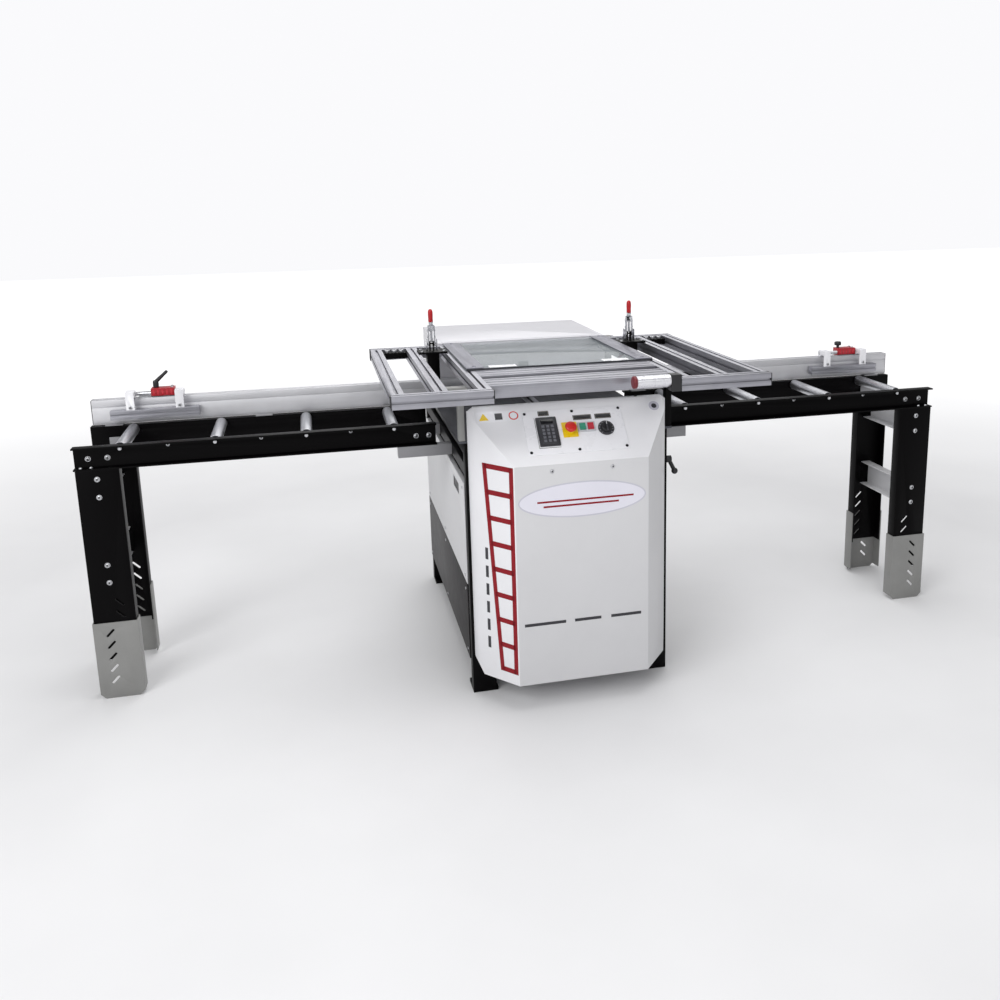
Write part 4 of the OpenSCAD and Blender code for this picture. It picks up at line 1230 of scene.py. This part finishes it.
# %% [markdown]
# ## Rollers
# A conveyor roller is a zinc-plated tube with a moulded bearing cap in each end. The first one is
# rounded and its ends are painted, and the others are copies moved along X to their own nodes.
# Each rides on its own body, because each one spins.

# %% Rollers and axles
first_low, first_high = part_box("roller_1")
model = merged_copy("roller_1", "roller_model")
round_edges(model, 1.2, 3)
coat(model, roller_zinc)
paint_where(model, dark_grey_abs, lambda c: min(c.y - first_low.y, first_high.y - c.y) < 0.05 * MM)
for n in range(1, 9):
    low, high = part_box(f"roller_{n}")
    roller = copy_of(model, f"conveyor_roller_{n}")
    roller.location = low - first_low
    apply_place(roller)
    settle(roller, f"roller_{n}", SLOTS[f"roller_{n}"], f"roller_{n}")
bpy.data.objects.remove(model)
rounded("roller_axles", 0.5, "roller_axle_pins")
print("roller is", round(first_high.y - first_low.y, 3), "m long")

# %% [markdown]
# ## Hood and side panels
# The hood is folded sheet with a lapped top. Its lap is a thin tray, so it is a slab inset from
# the hood's edges. The side panels are two sheets on each side: a pale upper one with a
# finger slot, and a black lower one. They are one CAD node, so the lower faces are painted black.

# %% Hood
rounded("rear_hood", 2.2, "rear_hood_shell", segments=3)
hood_low, hood_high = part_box("rear_hood")
rim = 16 * MM
lap = slab("hood_top_lap", (hood_low.x + rim, hood_low.y + rim, hood_high.z - 0.4 * MM),
           (hood_high.x - rim, hood_high.y - rim, hood_high.z + 1.2 * MM), 8, 0.8)
coat(lap, white_coat)
settle(lap, "base", SLOTS["rear_hood"])
side_spots = [(hood_high.x, hood_low.y + d, hood_low.z + 0.018) for d in (0.06, 0.2, 0.36, 0.48)]
for sign, name in ((1, "right"), (-1, "left")):
    places = [(sign * x, y, z) for x, y, z in side_spots]
    screws = placed_copies(f"hood_{name}_screws", socket_screw("cap_screw", 5.5, 3.5), places, (sign, 0, 0))
    settle(screws, "base", SLOTS["fasteners"])

# %% [markdown]
# A louvre is a pressed slat: a block whose lower front edge is pulled out by moving its vertices.
# It is modelled once and copied down the panel in two columns.

# %% Louvres on the rear panel
panel_low, panel_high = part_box("body_panels")


def louvre(x, z, width):
    y = panel_high.y
    slat = block("louvre", (x - width / 2, y - 0.5 * MM, z), (x + width / 2, y + 1 * MM, z + 16 * MM))
    for vertex in slat.data.vertices:
        if vertex.co.y > y and vertex.co.z < z + 1 * MM:
            vertex.co.y += 8 * MM
    round_edges(slat, 0.6)
    return slat


slats = [louvre(sign * 0.190, 0.500 + 0.034 * row, 0.150) for sign in (-1, 1) for row in range(6)]
louvres = joined("rear_louvres", slats)
coat(louvres, pale_coat)
settle(louvres, "base", SLOTS["body_panels"])

# %% Side panels
panels = rounded("body_panels", 0.8, "side_and_rear_panels")
outer_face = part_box("base_frame")[1].x
seam = min(v.co.z for v in nodes["body_panels"].data.vertices
           if abs(v.co.x) > outer_face and v.co.z > 0.2) + 1.5 * MM
paint_where(panels, shade_coat, lambda c: abs(c.x) > outer_face - 1 * MM and c.z < seam)
slot_back = []
screw_spots = []
front_y, back_y = panel_low.y, panel_high.y
top_z = max(v.co.z for v in nodes["body_panels"].data.vertices if abs(v.co.x) > outer_face)
for sign in (-1, 1):
    inside = sign * (outer_face - 22 * MM)
    edge = sign * (outer_face - 0.2 * MM)
    slot_back.append(block("cup", (min(inside, edge), front_y + 0.116, top_z - 0.078),
                           (max(inside, edge), front_y + 0.254, top_z - 0.030), 1.5))
    for y in (front_y + 0.03, (front_y + back_y) / 2, back_y - 0.05):
        for z in (0.135, seam - 0.025, seam + 0.025, top_z - 0.022):
            screw_spots.append((sign, (sign * (outer_face + 3 * MM), y, z)))
cups = joined("finger_slot_cups", slot_back)
coat(cups, black_abs)
settle(cups, "base", SLOTS["keypad"])
for sign, name in ((1, "right"), (-1, "left")):
    spots = [place for s, place in screw_spots if s == sign]
    screws = placed_copies(f"{name}_panel_screws", socket_screw("cap_screw", 5, 3), spots, (sign, 0, 0))
    settle(screws, "base", SLOTS["fasteners"])
print("panel seam at", round(seam, 3), "m")

# %% [markdown]
# ## Bolts
# All the plain bolt heads are one CAD node of separate domes. A dome's flat side is where most of
# its vertices lie, so the direction with the fullest lowest level is the one it points in. The
# middle of that level is its seat. A turned head with a washer and a socket stands at each seat.

# %% Bolt heads
WAYS = [Vector((0, -1, 0)), Vector((0, 1, 0)), Vector((0, 0, 1)), slope_out]


def seat_of(dome):
    points = [v.co.copy() for v in dome.data.vertices]

    def base(way):
        lowest = min(p.dot(way) for p in points)
        return [p for p in points if p.dot(way) < lowest + 0.05 * MM]

    way = max(WAYS, key=lambda w: len(base(w)))
    rim = base(way)
    centre = sum(rim, Vector()) / len(rim)
    radius = max((p - centre).length for p in rim)
    height = max(p.dot(way) for p in points) - rim[0].dot(way)
    return centre, way, radius / MM, height / MM


bolts = {"plate_screws": [], "bolt_heads": []}
for dome in loose_parts("fasteners"):
    centre, way, radius, height = seat_of(dome)
    bpy.data.objects.remove(dome)
    on_plate = way == slope_out
    head = turned("bolt", [(0, radius), (0.8, radius)] +
                  dome_outline(radius * 0.84, height - 0.8, base=0.8, steps=5), centre, way, sides=24)
    pit = turned("pit", [(height * 0.9, radius * 0.4), (height * 1.01, radius * 0.4)], centre, way, sides=6)
    coat(head, black_zinc if on_plate else zinc)
    coat(pit, black_abs)
    bolts["plate_screws" if on_plate else "bolt_heads"] += [head, pit]
for name, members in bolts.items():
    print(name, len(members) // 2)
    settle(joined(name, members), "base", SLOTS["fasteners"], "fasteners")

# %% [markdown]
# ## Saw unit
# Under the table a motor drives the arbor through a ribbed belt. The blade's plate is in the CAD
# node. Its teeth have brazed carbide tips, which are small blocks copied round the arbor, and the
# clamping flanges stay as they are. The motor gains a terminal box and a fan cowl.

# %% Blade with carbide tips
rounded("saw_blade", 0.3, "saw_blade_plate", segments=1)
blade_centre = (blade_low + blade_high) / 2
blade_radius = (blade_high.z - blade_low.z) / 2
TEETH = 60
tip = block("tip", (blade_low.x - 0.1 * MM, blade_radius - 9 * MM, -2.6 * MM),
            (blade_high.x + 0.1 * MM, blade_radius - 0.6 * MM, -0.4 * MM), 0.2, 1)
tips = []
for n in range(TEETH):
    copy = copy_of(tip, f"tip_{n}")
    copy.matrix_world = (Matrix.Translation((0, blade_centre.y, blade_centre.z)) @
                         Matrix.Rotation(2 * math.pi * n / TEETH, 4, "X"))
    apply_place(copy)
    tips.append(copy)
bpy.data.objects.remove(tip)
carbide_tips = joined("carbide_tips", tips)
coat(carbide_tips, carbide)
settle(carbide_tips, "blade", SLOTS["saw_blade"])

# %% Motor fittings
motor_low, motor_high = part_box("saw_motor")
motor_centre = (motor_low + motor_high) / 2
motor_radius = (motor_high.z - motor_low.z) / 2 / MM
terminal = block("terminal_box", (motor_centre.x - 45 * MM, motor_centre.y - 45 * MM, motor_high.z - 2 * MM),
                 (motor_centre.x + 35 * MM, motor_centre.y + 45 * MM, motor_high.z + 38 * MM), 4, 3)
coat(terminal, motor_enamel)
settle(terminal, "saw_carriage", SLOTS["saw_motor"])
cowl = turned("fan_cowl", [(0, motor_radius - 4), (3, motor_radius - 0.5), (22, motor_radius - 0.5),
                           (26, motor_radius - 6), (27, motor_radius - 16), (27, 20), (25, 18), (25, 2)],
              (motor_low.x + 26 * MM, motor_centre.y, motor_centre.z), (-1, 0, 0))
coat(cowl, motor_enamel)
settle(cowl, "saw_carriage", SLOTS["saw_motor"])
print("blade radius", round(blade_radius, 3), "m with", TEETH, "teeth")

# %% [markdown]
# ## Studio
# The strongest light is large and soft and comes from the upper left, so the left and upward
# faces are nearly white, the front is light grey and the right-hand folds are darker. On the cover,
# the slope and the left slanted side also carry a painted highlight in a whiter coat. The backdrop
# is white where it is seen, and lights the scene less than that. The floor is stage, and it glows
# far from the machine, as a lit studio sweep does, so that it fades into the backdrop.

# %% Floor and lights
def studio_floor():
    bpy.ops.mesh.primitive_plane_add(size=40, location=(0, 0, 0))
    floor = bpy.context.object
    floor.name = "studio_floor"
    made, tree, surface = new_material("pale studio floor")
    spot = add(tree, "ShaderNodeTexCoord").outputs["Object"]
    broad = add(tree, "ShaderNodeTexNoise", {"Scale": 1.5, "Detail": 3.0}, Vector=spot)
    tree.links.new(ramp(tree, broad.outputs["Fac"], paint("#E9E9EA"), paint("#EDEDEE")),
                   surface.inputs["Base Color"])
    surface.inputs["Roughness"].default_value = 0.6
    away = add(tree, "ShaderNodeVectorMath", {"operation": "LENGTH"}, Vector=spot)
    glow = add(tree, "ShaderNodeMapRange", {"From Min": 2.4, "From Max": 7.0, "To Max": 0.75})
    tree.links.new(away.outputs["Value"], glow.inputs["Value"])
    tree.links.new(glow.outputs["Result"], surface.inputs["Emission Strength"])
    surface.inputs["Emission Color"].default_value = paint("#FFFFFF")
    coat(floor, made)
    clear_selection()


def soft_light(name, place, target, size, power):
    light = bpy.data.lights.new(name, "AREA")
    light.shape = "RECTANGLE"
    light.size, light.size_y = size
    light.energy = power
    lamp = bpy.data.objects.new(name, light)
    bpy.context.scene.collection.objects.link(lamp)
    aim = (Vector(target) - Vector(place)).to_track_quat("-Z", "Y")
    lamp.matrix_world = Matrix.Translation(place) @ aim.to_matrix().to_4x4()


KEY_WATTS, OVERHEAD_WATTS, FILL_WATTS, BACK_WATTS = 122, 118, 27, 45
SKY_LIGHT, SKY_SEEN = 0.44, 1.02

studio_floor()
middle = (0, 0, 0.8)
soft_light("front_left_key", (-3.7, -3.7, 3.7), middle, (3.0, 2.6), KEY_WATTS)
soft_light("overhead", (0.2, 0.1, 4.6), middle, (5.0, 3.5), OVERHEAD_WATTS)
soft_light("slope_fill", (0.6, -5.2, 3.2), middle, (3.0, 1.6), FILL_WATTS)
soft_light("back", (1.0, 5.0, 3.2), middle, (5.0, 2.0), BACK_WATTS)

world = bpy.data.worlds.new("studio")
world.use_nodes = True
sky = world.node_tree
backdrop = sky.nodes["Background"]
backdrop.inputs["Color"].default_value = paint("#F8F8FA")
seen = add(sky, "ShaderNodeLightPath").outputs["Is Camera Ray"]
strength = add(sky, "ShaderNodeMath", {"operation": "MULTIPLY_ADD"})
sky.links.new(seen, strength.inputs[0])
strength.inputs[1].default_value = SKY_SEEN - SKY_LIGHT
strength.inputs[2].default_value = SKY_LIGHT
sky.links.new(strength.outputs["Value"], backdrop.inputs["Strength"])
bpy.context.scene.world = world
bpy.context.scene.view_settings.view_transform = "Standard"
